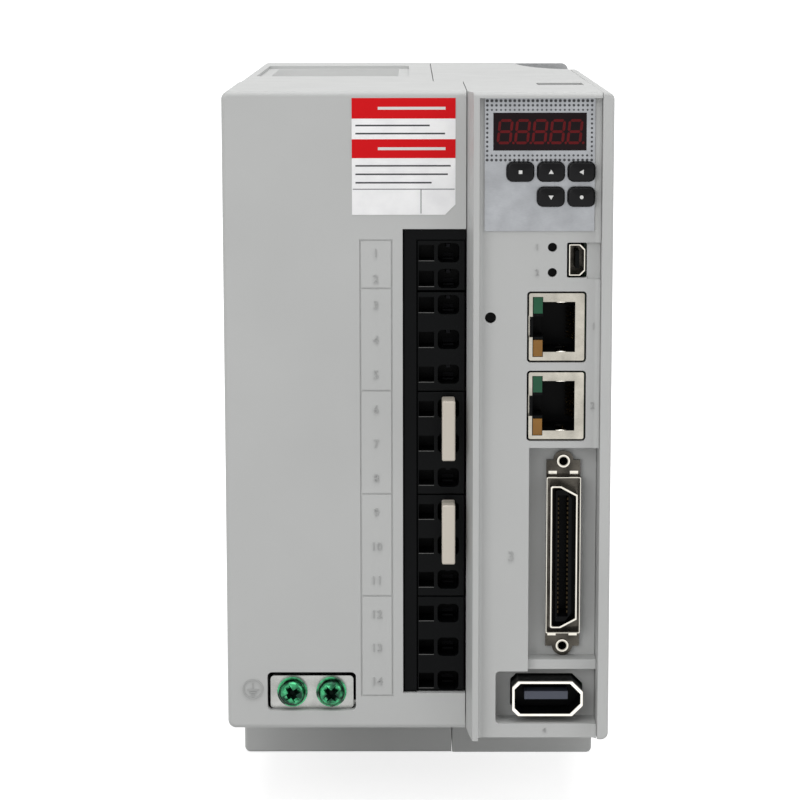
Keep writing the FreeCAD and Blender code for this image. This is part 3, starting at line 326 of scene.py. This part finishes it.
def softEdges(node, width, segments=2, angle=32):
    # Stands a copy of a CAD node in its place, with its sharp edges rounded by width.
    source = frame["nodes"][node]
    mesh = source.data.copy()
    work = bmesh.new()
    work.from_mesh(mesh)
    bmesh.ops.remove_doubles(work, verts=work.verts, dist=1e-6)
    bmesh.ops.dissolve_limit(work, angle_limit=math.radians(0.3), verts=work.verts, edges=work.edges,
                             delimit={"NORMAL"})
    work.to_mesh(mesh)
    work.free()
    mesh.materials.clear()
    mesh.materials.append(finishes[finishOf[node]])
    mesh.polygons.foreach_set("use_smooth", [True] * len(mesh.polygons))
    piece = bpy.data.objects.new(node + "_soft", mesh)
    bpy.context.scene.collection.objects.link(piece)
    bevel = piece.modifiers.new("edges", "BEVEL")
    bevel.width = width
    bevel.segments = segments
    bevel.limit_method = "ANGLE"
    bevel.angle_limit = math.radians(angle)
    weight = piece.modifiers.new("shading", "WEIGHTED_NORMAL")
    weight.keep_sharp = True
    weight.weight = 100
    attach(piece, bodyOf(node))
    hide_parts(node)
    return piece


edgeRadii = {
    "power_cover": 0.22 * mm, "control_cover": 0.22 * mm, "side_cover": 0.25 * mm, "left_case": 0.25 * mm,
    "right_case": 0.25 * mm, "heat_sink": 0.25 * mm, "back_plate": 0.3 * mm,
    "earth_bracket": 0.2 * mm, "fan_frame": 0.2 * mm,
}
for node, width in edgeRadii.items():
    softEdges(node, width)
print("soft edges done")


# Thin raised shapes: digits, dots, symbols and print

def extruded(outlines, front, back):
    # Points and faces of many flat outlines at once. outlines is (count, corners, 2) of x and z, and
    # each is carried straight from front to back along y.
    outlines = np.asarray(outlines, float)
    count, corners = outlines.shape[:2]
    layers = np.empty((count, 2, corners, 3))
    layers[..., 0] = outlines[:, None, :, 0]
    layers[..., 2] = outlines[:, None, :, 1]
    layers[:, 0, :, 1] = front
    layers[:, 1, :, 1] = back
    start = np.arange(count)[:, None] * 2 * corners
    ring = np.arange(corners)
    after = np.roll(ring, -1)
    sides = np.stack([ring, after, after + corners, ring + corners], -1)[None] + start[..., None]
    faces = [list(f) for f in (start + ring[::-1])] + [list(f) for f in (start + ring + corners)]
    return layers.reshape(-1, 3), faces + [list(f) for f in sides.reshape(-1, 4)]


def raised(name, outlines, front, back, finish, body=housing):
    points, faces = extruded(outlines, front, back)
    return addPiece(name, points, faces, finish, body, smooth=False, outward=True)


def bars(rows):
    # Rectangles from (x0, x1, drop0, drop1) in mm.
    corners = []
    for x0, x1, drop0, drop1 in rows:
        a, b = place(x0, 0, drop0), place(x1, 0, drop1)
        corners.append([(a[0], a[2]), (b[0], a[2]), (b[0], b[2]), (a[0], b[2])])
    return corners


def discs(centres, radii, corners=16):
    # Round outlines about (x, z) centres in metres.
    turn = np.linspace(0, 2 * math.pi, corners, endpoint=False)
    circle = np.stack([np.cos(turn), np.sin(turn)], -1)
    return np.asarray(centres)[:, None, :] + np.asarray(radii)[:, None, None] * circle[None]


# Display: five slanted seven-segment digits, unlit
display = {"digits": 5, "height": 5.5, "width": 3.0, "stroke": 0.66, "join": 0.12,
           "slant": 0.1, "pitch": 4.3, "proud": 0.02}


def addDigits():
    lo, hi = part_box("display_window")
    half, wide, stroke = display["height"] / 2 * mm, display["width"] / 2 * mm, display["stroke"] / 2 * mm
    trim = display["join"] * mm
    flat = lambda z: [(-wide + trim, z), (-wide + trim + stroke, z + stroke), (wide - trim - stroke, z + stroke),
                      (wide - trim, z), (wide - trim - stroke, z - stroke), (-wide + trim + stroke, z - stroke)]
    tall = lambda x, z: [(x, z - half / 2 + trim), (x - stroke, z - half / 2 + trim + stroke),
                         (x - stroke, z + half / 2 - trim - stroke), (x, z + half / 2 - trim),
                         (x + stroke, z + half / 2 - trim - stroke), (x + stroke, z - half / 2 + trim + stroke)]
    digit = np.array([flat(-half), flat(0), flat(half), tall(-wide, half / 2), tall(wide, half / 2),
                      tall(-wide, -half / 2), tall(wide, -half / 2)])
    digit[..., 0] += digit[..., 1] * display["slant"]
    middle = np.array([(lo[0] + hi[0]) / 2, (lo[2] + hi[2]) / 2])
    steps = (np.arange(display["digits"]) - (display["digits"] - 1) / 2) * display["pitch"] * mm
    shifts = np.stack([middle[0] + steps, np.full(len(steps), middle[1])], -1)
    outlines = (digit[None] + shifts[:, None, None, :]).reshape(-1, 6, 2)
    raised("display_segments", outlines, lo[1] - display["proud"] * mm, lo[1] + 0.05 * mm, "digit_red")
    points = shifts + np.array([wide + 0.55 * mm, -half])
    raised("display_points", discs(points, np.full(len(points), 0.32 * mm)), lo[1] - display["proud"] * mm,
           lo[1] + 0.05 * mm, "digit_red")


# Overlay: dots round the display that grow towards its edges
dots = {"pitch": 1.12, "smallest": 0.2, "largest": 0.43, "below": 2}


def addOverlayDots():
    lo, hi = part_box("keypad_overlay")
    windowLo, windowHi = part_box("display_window")
    pitch = dots["pitch"] * mm
    columns = np.arange(lo[0] + 0.55 * pitch, hi[0] - 0.3 * pitch, pitch)
    lowest = windowLo[2] - (dots["below"] + 0.2) * pitch
    levels = np.arange(hi[2] - 0.6 * pitch, lowest, -pitch)
    x, z = (a.ravel() for a in np.meshgrid(columns, levels))
    room = 0.45 * pitch
    outside = (x < windowLo[0] - room) | (x > windowHi[0] + room) | (z < windowLo[2] - room) | (z > windowHi[2] + room)
    x, z = x[outside], z[outside]
    reach = np.maximum(np.maximum(windowLo[0] - x, x - windowHi[0]), np.maximum(windowLo[2] - z, z - windowHi[2]))
    grow = np.clip(reach / (3.2 * pitch), 0, 1)
    radii = (dots["smallest"] + (dots["largest"] - dots["smallest"]) * grow) * mm
    raised("overlay_dots", discs(np.stack([x, z], -1), radii, 10), lo[1] - 0.012 * mm, lo[1] + 0.02 * mm,
           "dark_print")


# Keys: glossy caps with a low crown
keys = {"crown": 0.3, "corner": 4.6, "edge": 0.62, "symbol": 0.62}


def tile(centreX, centreZ, halfX, halfZ, corner, scales, depths, turns=72):
    # Closed cap: a superellipse outline of the given power, scaled by scales[i] at y = depths[i].
    turn = np.linspace(0, 2 * math.pi, turns, endpoint=False)
    c, s = np.cos(turn), np.sin(turn)
    x = halfX * np.sign(c) * np.abs(c) ** (2 / corner)
    z = halfZ * np.sign(s) * np.abs(s) ** (2 / corner)
    scales, depths = np.asarray(scales), np.asarray(depths)
    points = np.empty((len(scales), turns, 3))
    points[..., 0] = centreX + scales[:, None] * x
    points[..., 2] = centreZ + scales[:, None] * z
    points[..., 1] = depths[:, None]
    faces = [list(f) for f in gridFaces(len(scales), turns, wrap=True)]
    faces.append(list(range(turns)))
    faces.append(list(range((len(scales) - 1) * turns, len(scales) * turns)))
    return points.reshape(-1, 3), faces


def addKey(node, symbol):
    lo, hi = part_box(node)
    halfX = (hi[0] - lo[0]) / 2
    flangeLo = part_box("keypad_overlay")[0][1]
    halfZ = 2.4 * mm
    x, z = (lo[0] + hi[0]) / 2, (lo[2] + hi[2]) / 2
    crown, edge = keys["crown"] * mm, keys["edge"] * mm
    inner = np.linspace(0.12, 1 - edge / halfX, 9)
    bend = np.linspace(0, math.pi / 2, 7)[1:]
    drop = crown * inner ** 2
    scales = np.concatenate([inner, 1 - edge / halfX * (1 - np.sin(bend)), [1, 1]])
    depths = lo[1] + np.concatenate([drop, drop[-1] + edge * (1 - np.cos(bend)),
                                     [flangeLo - lo[1] + 0.4 * mm, hi[1] - lo[1]]])
    points, faces = tile(x, z, halfX, halfZ, keys["corner"], scales, depths)
    addPiece(node + "_cap", points, faces, "key_plastic", node, replaced=[node], outward=True)
    size = keys["symbol"] * mm
    shapes = {
        "up": [(-size, -0.7 * size), (size, -0.7 * size), (0, size)],
        "down": [(-size, 0.7 * size), (0, -size), (size, 0.7 * size)],
        "left": [(0.7 * size, -size), (0.7 * size, size), (-size, 0)],
        "square": [(-0.7 * size, -0.7 * size), (0.7 * size, -0.7 * size), (0.7 * size, 0.7 * size), (-0.7 * size, 0.7 * size)],
        "circle": discs([(0, 0)], [0.75 * size], 24)[0],
    }
    outline = np.asarray(shapes[symbol]) + np.array([x, z])
    raised(node + "_symbol", [outline], lo[1] - 0.02 * mm, lo[1] + 0.05 * mm, "white_print", node)


# Front label: bare bands and ruled lines
label = {"bands": ((1.7, 6.8), (11.9, 16.6)), "rows": (8.3, 10.3, 18.3, 20.4, 22.5), "rule": 24.2, "divider": 49.5,
         "thin": 0.22, "row": 0.4, "reach": (0.78, 0.94, 1.0, 0.97, 0.8)}


def addLabelPrint():
    lo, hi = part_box("front_label")
    left, right = (lo[0] - leftSide) / mm, (hi[0] - leftSide) / mm
    front, back = lo[1] - 0.012 * mm, lo[1] + 0.05 * mm
    raised("label_bands", bars([(left, right, a, b) for a, b in label["bands"]]), front, back, "red_print")
    raised("label_band_lines", bars([(left + 6.5, right - 2.5, (a + b) / 2 - 0.35, (a + b) / 2 + 0.35)
                                     for a, b in label["bands"]]), front - 0.008 * mm, back, "white_print")
    rows = [(left + 0.9, left + 0.9 + reach * (right - left - 2.1), drop, drop + label["row"])
            for drop, reach in zip(label["rows"], label["reach"])]
    raised("label_rows", bars(rows), front, back, "dark_print")
    bottom = (topSide - lo[2]) / mm
    rules = [(left + 0.2, right - 0.2, label["rule"], label["rule"] + label["thin"]),
             (label["divider"], label["divider"] + label["thin"], label["rule"], bottom - 0.3)]
    raised("label_rules", bars(rules), front, back, "grey_print")


# Raised numbers, in the casing's plastic made a shade darker: painted shade that stands for the shading of their relief
numbers = {"height": 0.3, "size": 3.0}


def addNumber(name, text, x, drop, y, size=None):
    # Text centred at x and drop, standing out of the surface at y.
    curve = bpy.data.curves.new(name, "FONT")
    curve.body = text
    curve.size = (size or numbers["size"]) * mm
    curve.extrude = numbers["height"] * mm
    curve.align_x, curve.align_y = "CENTER", "CENTER"
    drawn = bpy.data.objects.new(name + "_curve", curve)
    mesh = bpy.data.meshes.new_from_object(drawn)
    bpy.data.objects.remove(drawn)
    flat = np.empty(len(mesh.vertices) * 3)
    mesh.vertices.foreach_get("co", flat)
    flat = flat.reshape(-1, 3)
    centre = place(x, y, drop)
    points = np.stack([centre[0] + flat[:, 0], centre[1] - flat[:, 2], centre[2] + flat[:, 1]], -1)
    faces = [list(p.vertices) for p in mesh.polygons]
    bpy.data.meshes.remove(mesh)
    addPiece(name, points, faces, "case_painted_shade", smooth=False, outward=True)


rows = {"firstSmall": 40.4, "smallPitch": 6.5, "small": 2, "firstMain": 53.5, "mainPitch": 8.83, "main": 12}
rowDrops = [rows["firstSmall"] + rows["smallPitch"] * i for i in range(rows["small"])]
rowDrops += [rows["firstMain"] + rows["mainPitch"] * i for i in range(rows["main"])]


def addNumbers():
    for i, drop in enumerate(rowDrops):
        addNumber("row_number_%d" % (i + 1), str(i + 1), 38.3, drop, 0)
    panel = (panelFace - coverFront) / mm
    addNumber("port_number_1", "1", 92.5, 58.2, panel, 2.4)
    addNumber("port_number_2", "2", 92.4, 78.2, panel, 2.4)
    addNumber("lamp_number_1", "1", 78.4, 38.4, panel, 2.2)
    addNumber("lamp_number_2", "2", 78.4, 44.7, panel, 2.2)
    addNumber("connector_number", "3", 72.3, 116.8, panel, 3.6)
    addNumber("feedback_number", "4", 81.0, 162.0, panel, 1.8)


# Terminal plugs: a thin strip under each tool slot, made lighter as the painted highlight on the slot's lower lip
lip = {"start": 0.4, "width": 3.9, "below": 1.95, "thick": 0.16, "proud": 0.03}


def addSlotLipHighlights():
    for node in ("plug_supply", "plug_mains", "plug_shunt", "plug_bus", "plug_motor"):
        lo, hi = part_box(node)
        x = (lo[0] - leftSide) / mm + lip["start"]
        inside = [d for d in rowDrops if lo[2] < topSide - d * mm < hi[2]]
        edges = [(x, x + lip["width"], d + lip["below"], d + lip["below"] + lip["thick"]) for d in inside]
        raised(node + "_lip_highlights", bars(edges), lo[1] - lip["proud"] * mm, lo[1] + 0.3 * mm, "lip_painted_highlight",
               bodyOf(node))


# Earth mark: a ring round a stem and three bars, raised on the cover and made darker as painted shade of their relief
earthMark = {"x": 6.5, "drop": 152.5, "outer": 2.65, "inner": 2.2, "height": 0.3}


def band(outer, inner, front, back):
    # Closed ring with a rectangular section between two matching (x, z) outlines.
    section = ((outer, back), (outer, front), (inner, front), (inner, back), (outer, back))
    points = np.array([[(x, y, z) for x, z in outline] for outline, y in section])
    return points.reshape(-1, 3), gridFaces(len(section), len(outer), wrap=True)


def circle(x, z, radius, turns=64):
    # Round outline of (x, z) points.
    turn = np.linspace(0, 2 * math.pi, turns, endpoint=False)
    return np.stack([x + radius * np.cos(turn), z + radius * np.sin(turn)], -1)


def addEarthMark():
    centre = place(earthMark["x"], 0, earthMark["drop"])
    front, back = centre[1] - earthMark["height"] * mm, centre[1] + 0.05 * mm
    outer, inner = (circle(centre[0], centre[2], earthMark[key] * mm) for key in ("outer", "inner"))
    points, faces = band(outer, inner, front, back)
    addPiece("earth_mark_ring", points, faces, "case_painted_shade", outward=True, smooth=False)
    x, drop = earthMark["x"], earthMark["drop"]
    shape = [(x - 0.18, x + 0.18, drop - 1.6, drop), (x - 1.5, x + 1.5, drop, drop + 0.36),
             (x - 1.0, x + 1.0, drop + 0.7, drop + 1.06), (x - 0.5, x + 0.5, drop + 1.35, drop + 1.7)]
    raised("earth_mark_bars", bars(shape), front, back, "case_painted_shade")


# Earth screws: pan heads with a tapered cross recess
screw = {"radius": 3.55, "height": 2.6, "arm": 2.5, "width": 0.5, "recess": 2.1, "cells": 150, "turns": (0.55, 0.8)}


def recessDepth(px, pz, turn):
    # Depth in mm of a turned cross: each arm is deepest at the middle and fades towards its end
    c, s = math.cos(turn), math.sin(turn)
    one, other = c * px + s * pz, c * pz - s * px
    arms = [np.clip((screw["arm"] - np.abs(along)) / screw["arm"] * 1.25, 0, 1)
            * np.clip((screw["width"] + 0.2 - np.abs(across)) / 0.25, 0, 1)
            for along, across in ((one, other), (other, one))]
    return screw["recess"] * np.maximum(*arms)


def screwHead(x, z, seat, turn):
    # Height over a disc: a domed crown less the cross. The square grid is bent to a disc.
    cells = screw["cells"]
    line = np.linspace(-1, 1, cells)
    u, v = np.meshgrid(line, line, indexing="ij")
    a, b = u * np.sqrt(1 - v ** 2 / 2), v * np.sqrt(1 - u ** 2 / 2)
    reach = np.sqrt(a ** 2 + b ** 2)
    spread = np.where(reach > 1e-9, np.sin(np.minimum(reach, 1) * math.pi / 2) / np.maximum(reach, 1e-9), 1)
    px, pz = (side * spread * screw["radius"] for side in (a, b))
    r = np.sqrt(px ** 2 + pz ** 2) / screw["radius"]
    height = screw["height"] * np.sqrt(np.clip(1 - r ** 3.2, 0, 1)) - recessDepth(px, pz, turn)
    points = np.stack([x + px * mm, seat - height * mm, z + pz * mm], -1).reshape(-1, 3)
    faces = [list(f) for f in gridFaces(cells, cells)]
    index = np.arange(cells * cells).reshape(cells, cells)
    rim = np.concatenate([index[0, :-1], index[:-1, -1], index[-1, :0:-1], index[:0:-1, 0]])
    faces.append(list(rim))
    return points, faces


def shadeRecess(head, x, z, turn):
    # The cross's floor takes a second, darker material: painted shade in the recess
    mesh = head.data
    mesh.materials.append(finishes["recess_shade"])
    centres = np.empty(len(mesh.polygons) * 3)
    mesh.polygons.foreach_get("center", centres)
    px, _, pz = (centres.reshape(-1, 3) - (x, 0, z)).T / mm
    deep = recessDepth(px, pz, turn) > 0.45 * screw["recess"]
    deep[-1] = False
    mesh.polygons.foreach_set("material_index", deep.astype(int))


def cylinder(x, z, radius, front, back, turns=48):
    # Closed round bar along y.
    turn = np.linspace(0, 2 * math.pi, turns, endpoint=False)
    ring = np.stack([x + radius * np.cos(turn), np.zeros(turns), z + radius * np.sin(turn)], -1)
    points = np.concatenate([ring + [0, front, 0], ring + [0, back, 0]])
    faces = [list(f) for f in gridFaces(2, turns, wrap=True)]
    return points, faces + [list(range(turns)), list(range(turns, 2 * turns))]


def addEarthScrews():
    lo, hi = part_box("earth_screws")
    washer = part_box("earth_washers")
    z = (washer[0][2] + washer[1][2]) / 2
    half = (washer[1][2] - washer[0][2]) / 2
    centres = (washer[0][0] + half, washer[1][0] - half)
    for i, x in enumerate(centres):
        points, faces = screwHead(x, z, washer[0][1], screw["turns"][i])
        head = addPiece("earth_screw_head_%d" % (i + 1), points, faces, "green_passivated", outward=True,
                        replaced=["earth_screws"] if i == 0 else ())
        shadeRecess(head, x, z, screw["turns"][i])
        points, faces = cylinder(x, z, 1.95 * mm, washer[0][1] + 0.01 * mm, hi[1])
        addPiece("earth_screw_shank_%d" % (i + 1), points, faces, "green_passivated", outward=True)


# Network sockets: sprung tabs bent into each mouth
tabs = {"width": 2.6, "thick": 0.16, "reach": 6.0, "bulge": 0.75}


def strip(path, along, width, thick):
    # Strip of a given width along x that follows (y, z) points, thickened square to its path.
    path = np.asarray(path)
    run = np.gradient(path, axis=0)
    normal = np.stack([-run[:, 1], run[:, 0]], -1) / np.linalg.norm(run, axis=1)[:, None]
    section = [(-0.5, -0.5), (0.5, -0.5), (0.5, 0.5), (-0.5, 0.5)]
    points = np.empty((len(path), 4, 3))
    for k, (side, rise) in enumerate(section):
        points[:, k, 0] = along + side * width
        points[:, k, 1:] = path + normal * rise * thick
    faces = [list(f) for f in gridFaces(len(path), 4, wrap=True)]
    last = (len(path) - 1) * 4
    return points.reshape(-1, 3), faces + [[0, 1, 2, 3], [last, last + 1, last + 2, last + 3]]


def addSocketTabs():
    # A tab above and below each mouth: y runs inwards and z swells towards the middle as a sine.
    t = np.linspace(0, 1, 14)
    for jack, drop in enumerate((49.4, 69.3)):
        for side in (-1, 1):
            middle = place(84.6, (panelFace - coverFront) / mm + 0.35, drop + 8.95)
            edge = middle[2] + side * 6.25 * mm
            y = middle[1] + t * tabs["reach"] * mm
            z = edge - side * tabs["bulge"] * mm * np.sin(t * math.pi * 0.8)
            points, faces = strip(np.stack([y, z], -1), middle[0], tabs["width"] * mm, tabs["thick"] * mm)
            addPiece("socket_tab_%d_%s" % (jack + 1, "top" if side > 0 else "base"), points, faces, "bright_shell",
                     outward=True)


# Wide connector: two rows of contacts along its slot
ribbon = {"contacts": 25, "pitch": 1.22, "width": 0.34, "tall": 0.62}


def addRibbonContacts():
    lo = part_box("io_insulator")[0]
    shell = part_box("io_shell")
    centre, z = (shell[0][0] + shell[1][0]) / 2, (shell[0][2] + shell[1][2]) / 2
    levels = z + (np.arange(ribbon["contacts"]) - (ribbon["contacts"] - 1) / 2) * ribbon["pitch"] * mm
    half = ribbon["tall"] / 2 * mm
    sides = [(-1.5, -1.5 + ribbon["width"]), (1.2 - ribbon["width"], 1.2)]
    shapes = [[(centre + a * mm, level - half), (centre + b * mm, level - half), (centre + b * mm, level + half),
               (centre + a * mm, level + half)] for a, b in sides for level in levels]
    raised("ribbon_contacts", shapes, lo[1] + 0.9 * mm, lo[1] + 5.0 * mm, "shaded_contact")


# Bright rims of the three shells, and the wide connector's lugs; on the nickel shells the rims, nut rings and lugs are
# a bright copy of the plating: painted highlight
rims = {"wide": (3.35, 18.3, 2.6, 2.2), "frame": (4.3, 20.2), "feedback": (8.95, 4.5, 1.5, 2.7), "small": 1.2,
        "nut": (1.62, 1.3), "lug": (2.7, 1.05, 0.42, 21.0), "thick": 0.3, "deep": 0.5}


def chamfered(x0, x1, z0, z1, left, right):
    # Rectangle whose left and right corners are cut by their own (x, z) amounts.
    return np.array([(x0 + left[0], z0), (x1 - right[0], z0), (x1, z0 + right[1]), (x1, z1 - right[1]),
                     (x1 - right[0], z1), (x0 + left[0], z1), (x0, z1 - left[1]), (x0, z0 + left[1])])


def addRim(name, middle, half, left, right, front, thick, deep, slot):
    # Band round a chamfered rectangle about an (x, z) middle, thick inwards and deep from its front.
    outlines = []
    for inset in (-0.02 * mm, thick):
        w, h = half[0] - inset, half[1] - inset
        outlines.append(chamfered(middle[0] - w, middle[0] + w, middle[1] - h, middle[1] + h, left, right))
    points, faces = band(outlines[0], outlines[1], front - 0.02 * mm, front + deep)
    # Plated shells get a bright nickel rim: painted highlight on their front edge.
    finish = "bright_shell" if slot == "bright_shell" else "nickel_painted_highlight"
    addPiece(name, points, faces, finish, smooth=False, outward=True)


def addRims():
    thick, deep = rims["thick"] * mm, rims["deep"] * mm
    lo, hi = (np.array(corner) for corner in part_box("feedback_shell"))
    w, h, small, large = (v * mm for v in rims["feedback"])
    addRim("feedback_rim", ((lo + hi) / 2)[[0, 2]], (w, h), (small, small), (large, large), lo[1], 0.55 * mm,
           0.9 * mm, "bright_shell")
    lo, hi = (np.array(corner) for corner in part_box("io_shell"))
    middle = ((lo + hi) / 2)[[0, 2]]
    w, h, flat, cut = (v * mm for v in rims["wide"])
    addRim("wide_rim", middle, (w, h), (0.3 * mm, 0.3 * mm), (2 * w - flat, cut), lo[1], thick, deep, "plated_shield")
    w, h = (v * mm for v in rims["frame"])
    addRim("wide_frame_rim", middle, (w, h), (0.2 * mm, 0.2 * mm), (0.2 * mm, 0.2 * mm), lo[1] + 2.2 * mm,
           0.14 * mm, deep, "plated_shield")
    nuts = [np.array(corner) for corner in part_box("io_jack_nuts")]
    outer, inner = (v * mm for v in rims["nut"])
    for end, z in (("low", nuts[0][2] + 1.6 * mm), ("high", nuts[1][2] - 1.6 * mm)):
        points, faces = band(circle(middle[0], z, outer), circle(middle[0], z, inner), nuts[0][1] - 0.02 * mm,
                             nuts[0][1] + 0.6 * mm)
        addPiece("wide_nut_ring_" + end, points, faces, "nickel_painted_highlight", outward=True,
                 smooth=False)
    side, half, tall, away = (v * mm for v in rims["lug"])
    lugs = [[(middle[0] + a * side - half, z - tall), (middle[0] + a * side + half, z - tall),
             (middle[0] + a * side + half, z + tall), (middle[0] + a * side - half, z + tall)]
            for a in (-1, 1) for z in (middle[1] - away, middle[1] + away)]
    plate = lo[1] + 5.0 * mm
    raised("wide_lugs", lugs, plate - 0.15 * mm, plate + 0.6 * mm, "nickel_painted_highlight")
    lo, hi = (np.array(corner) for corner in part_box("usb_shell"))
    cut = rims["small"] * mm
    addRim("small_rim", ((lo + hi) / 2)[[0, 2]], (hi - lo)[[0, 2]] / 2, (0.1 * mm, 0.1 * mm), (cut, cut), lo[1],
           0.2 * mm, 0.4 * mm, "plated_shield")


def addFeedbackCarrier():
    # Blue-grey contact carrier over the socket's tongue.
    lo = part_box("feedback_insulator")[0]
    x0, x1 = place(81.8 - 5.8, 0, 0)[0], place(81.8 + 5.2, 0, 0)[0]
    z = place(0, 0, 153.5)[2]
    slack, half = 0.03 * mm, 1.03 * mm
    outline = [(x0 - slack, z - half), (x1 + slack, z - half), (x1 + slack, z + half), (x0 - slack, z + half)]
    raised("feedback_carrier", [outline], lo[1] - slack, lo[1] + 4 * mm, "carrier_blue")


addDigits()
addOverlayDots()
for node, symbol in (("key_mode", "square"), ("key_up", "up"), ("key_shift", "left"), ("key_down", "down"),
                     ("key_set", "circle")):
    addKey(node, symbol)
addLabelPrint()
addNumbers()
addSlotLipHighlights()
addEarthMark()
addEarthScrews()
addSocketTabs()
addRibbonContacts()
addRims()
addFeedbackCarrier()
print("front details done")


# Camera, light and floor

view = {"lens": 123.75, "x": 47.25, "y": -684.38, "drop": -32.38, "pitch": 9.12, "yaw": -0.247, "roll": -0.09}


def addCamera():
    pitch, yaw, roll = (math.radians(view[k]) for k in ("pitch", "yaw", "roll"))
    ahead = Vector((math.sin(yaw) * math.cos(pitch), math.cos(yaw) * math.cos(pitch), -math.sin(pitch)))
    right = Vector((math.cos(yaw), -math.sin(yaw), 0))
    upward = right.cross(ahead)
    across = math.cos(roll) * right + math.sin(roll) * upward
    upright = math.cos(roll) * upward - math.sin(roll) * right
    camera = bpy.data.objects.new("camera", bpy.data.cameras.new("camera"))
    camera.data.sensor_width = 36
    camera.data.lens = view["lens"]
    camera.data.clip_end = 100
    turn = Matrix((across, upright, -ahead)).transposed().to_4x4()
    camera.matrix_world = Matrix.Translation(Vector(place(view["x"], view["y"], view["drop"]))) @ turn
    bpy.context.scene.collection.objects.link(camera)
    bpy.context.scene.camera = camera


lamps = {   # name: place in m, target in m, size in m, power in W
    "topSoftbox": ((0.0, -0.25, 1.7), (0.0, 0.0, 0.1), 1.5, 16.0),
    "frontSoftbox": ((-0.9, -1.7, 0.75), (0.0, 0.0, 0.1), 1.2, 9.0),
    "sideSoftbox": ((1.6, -0.9, 0.8), (0.0, 0.0, 0.1), 1.0, 5.0),
}
worldLevel = 0.5


def addLamp(name, spot, target, size, power):
    data = bpy.data.lights.new(name, "AREA")
    data.shape = "SQUARE"
    data.size = size
    data.energy = power
    lamp = bpy.data.objects.new(name, data)
    lamp.location = spot
    lamp.rotation_euler = (Vector(target) - Vector(spot)).to_track_quat("-Z", "Y").to_euler()
    bpy.context.scene.collection.objects.link(lamp)


def seenDirectly(nodes, links):
    # 1 for rays from the camera, or by way of gloss or glass.
    path = nodes.new("ShaderNodeLightPath")
    first = nodes.new("ShaderNodeMath")
    second = nodes.new("ShaderNodeMath")
    first.operation = second.operation = "MAXIMUM"
    links.new(path.outputs["Is Camera Ray"], first.inputs[0])
    links.new(path.outputs["Is Glossy Ray"], first.inputs[1])
    links.new(first.outputs[0], second.inputs[0])
    links.new(path.outputs["Is Transmission Ray"], second.inputs[1])
    return second.outputs[0]


def addWorld():
    world = bpy.data.worlds.new("studio")
    world.use_nodes = True
    nodes, links = world.node_tree.nodes, world.node_tree.links
    nodes.clear()
    lit, seen = nodes.new("ShaderNodeBackground"), nodes.new("ShaderNodeBackground")
    lit.inputs["Strength"].default_value = worldLevel
    seen.inputs["Strength"].default_value = 1.0
    for background in (lit, seen):
        background.inputs["Color"].default_value = (1, 1, 1, 1)
    mix, output = nodes.new("ShaderNodeMixShader"), nodes.new("ShaderNodeOutputWorld")
    links.new(seenDirectly(nodes, links), mix.inputs[0])
    links.new(lit.outputs[0], mix.inputs[1])
    links.new(seen.outputs[0], mix.inputs[2])
    links.new(mix.outputs[0], output.inputs[0])
    bpy.context.scene.world = world


def addFloor():
    # Pale floor that keeps a soft shadow and otherwise shows white.
    reach = 40.0
    mesh = bpy.data.meshes.new("floor")
    z = low[2] - 0.00002
    mesh.from_pydata([(-reach, -reach, z), (reach, -reach, z), (reach, reach, z), (-reach, reach, z)], [], [(0, 1, 2, 3)])
    material = bpy.data.materials.new("paleFloor")
    material.use_nodes = True
    nodes, links = material.node_tree.nodes, material.node_tree.links
    shader = nodes["Principled BSDF"]
    shader.inputs["Base Color"].default_value = (0.55, 0.55, 0.55, 1)
    shader.inputs["Roughness"].default_value = 0.9
    shader.inputs["Specular IOR Level"].default_value = 0.0
    glow, both = nodes.new("ShaderNodeEmission"), nodes.new("ShaderNodeAddShader")
    coords, distance = nodes.new("ShaderNodeTexCoord"), nodes.new("ShaderNodeVectorMath")
    level, scaled = nodes.new("ShaderNodeMapRange"), nodes.new("ShaderNodeMath")
    distance.operation, scaled.operation = "LENGTH", "MULTIPLY"
    for socket, number in zip(("From Min", "From Max", "To Min", "To Max"), (0.12, 0.4, 0.74, 1.0)):
        level.inputs[socket].default_value = number
    links.new(coords.outputs["Object"], distance.inputs[0])
    links.new(distance.outputs["Value"], level.inputs["Value"])
    links.new(level.outputs["Result"], scaled.inputs[1])
    links.new(seenDirectly(nodes, links), scaled.inputs[0])
    links.new(scaled.outputs[0], glow.inputs["Strength"])
    links.new(shader.outputs[0], both.inputs[0])
    links.new(glow.outputs[0], both.inputs[1])
    links.new(both.outputs[0], nodes["Material Output"].inputs["Surface"])
    mesh.materials.append(material)
    floor = bpy.data.objects.new("floor", mesh)
    bpy.context.scene.collection.objects.link(floor)


addCamera()
for name, values in lamps.items():
    addLamp(name, *values)
addWorld()
addFloor()
bpy.context.scene.view_settings.view_transform = "Standard"
print("studio done")
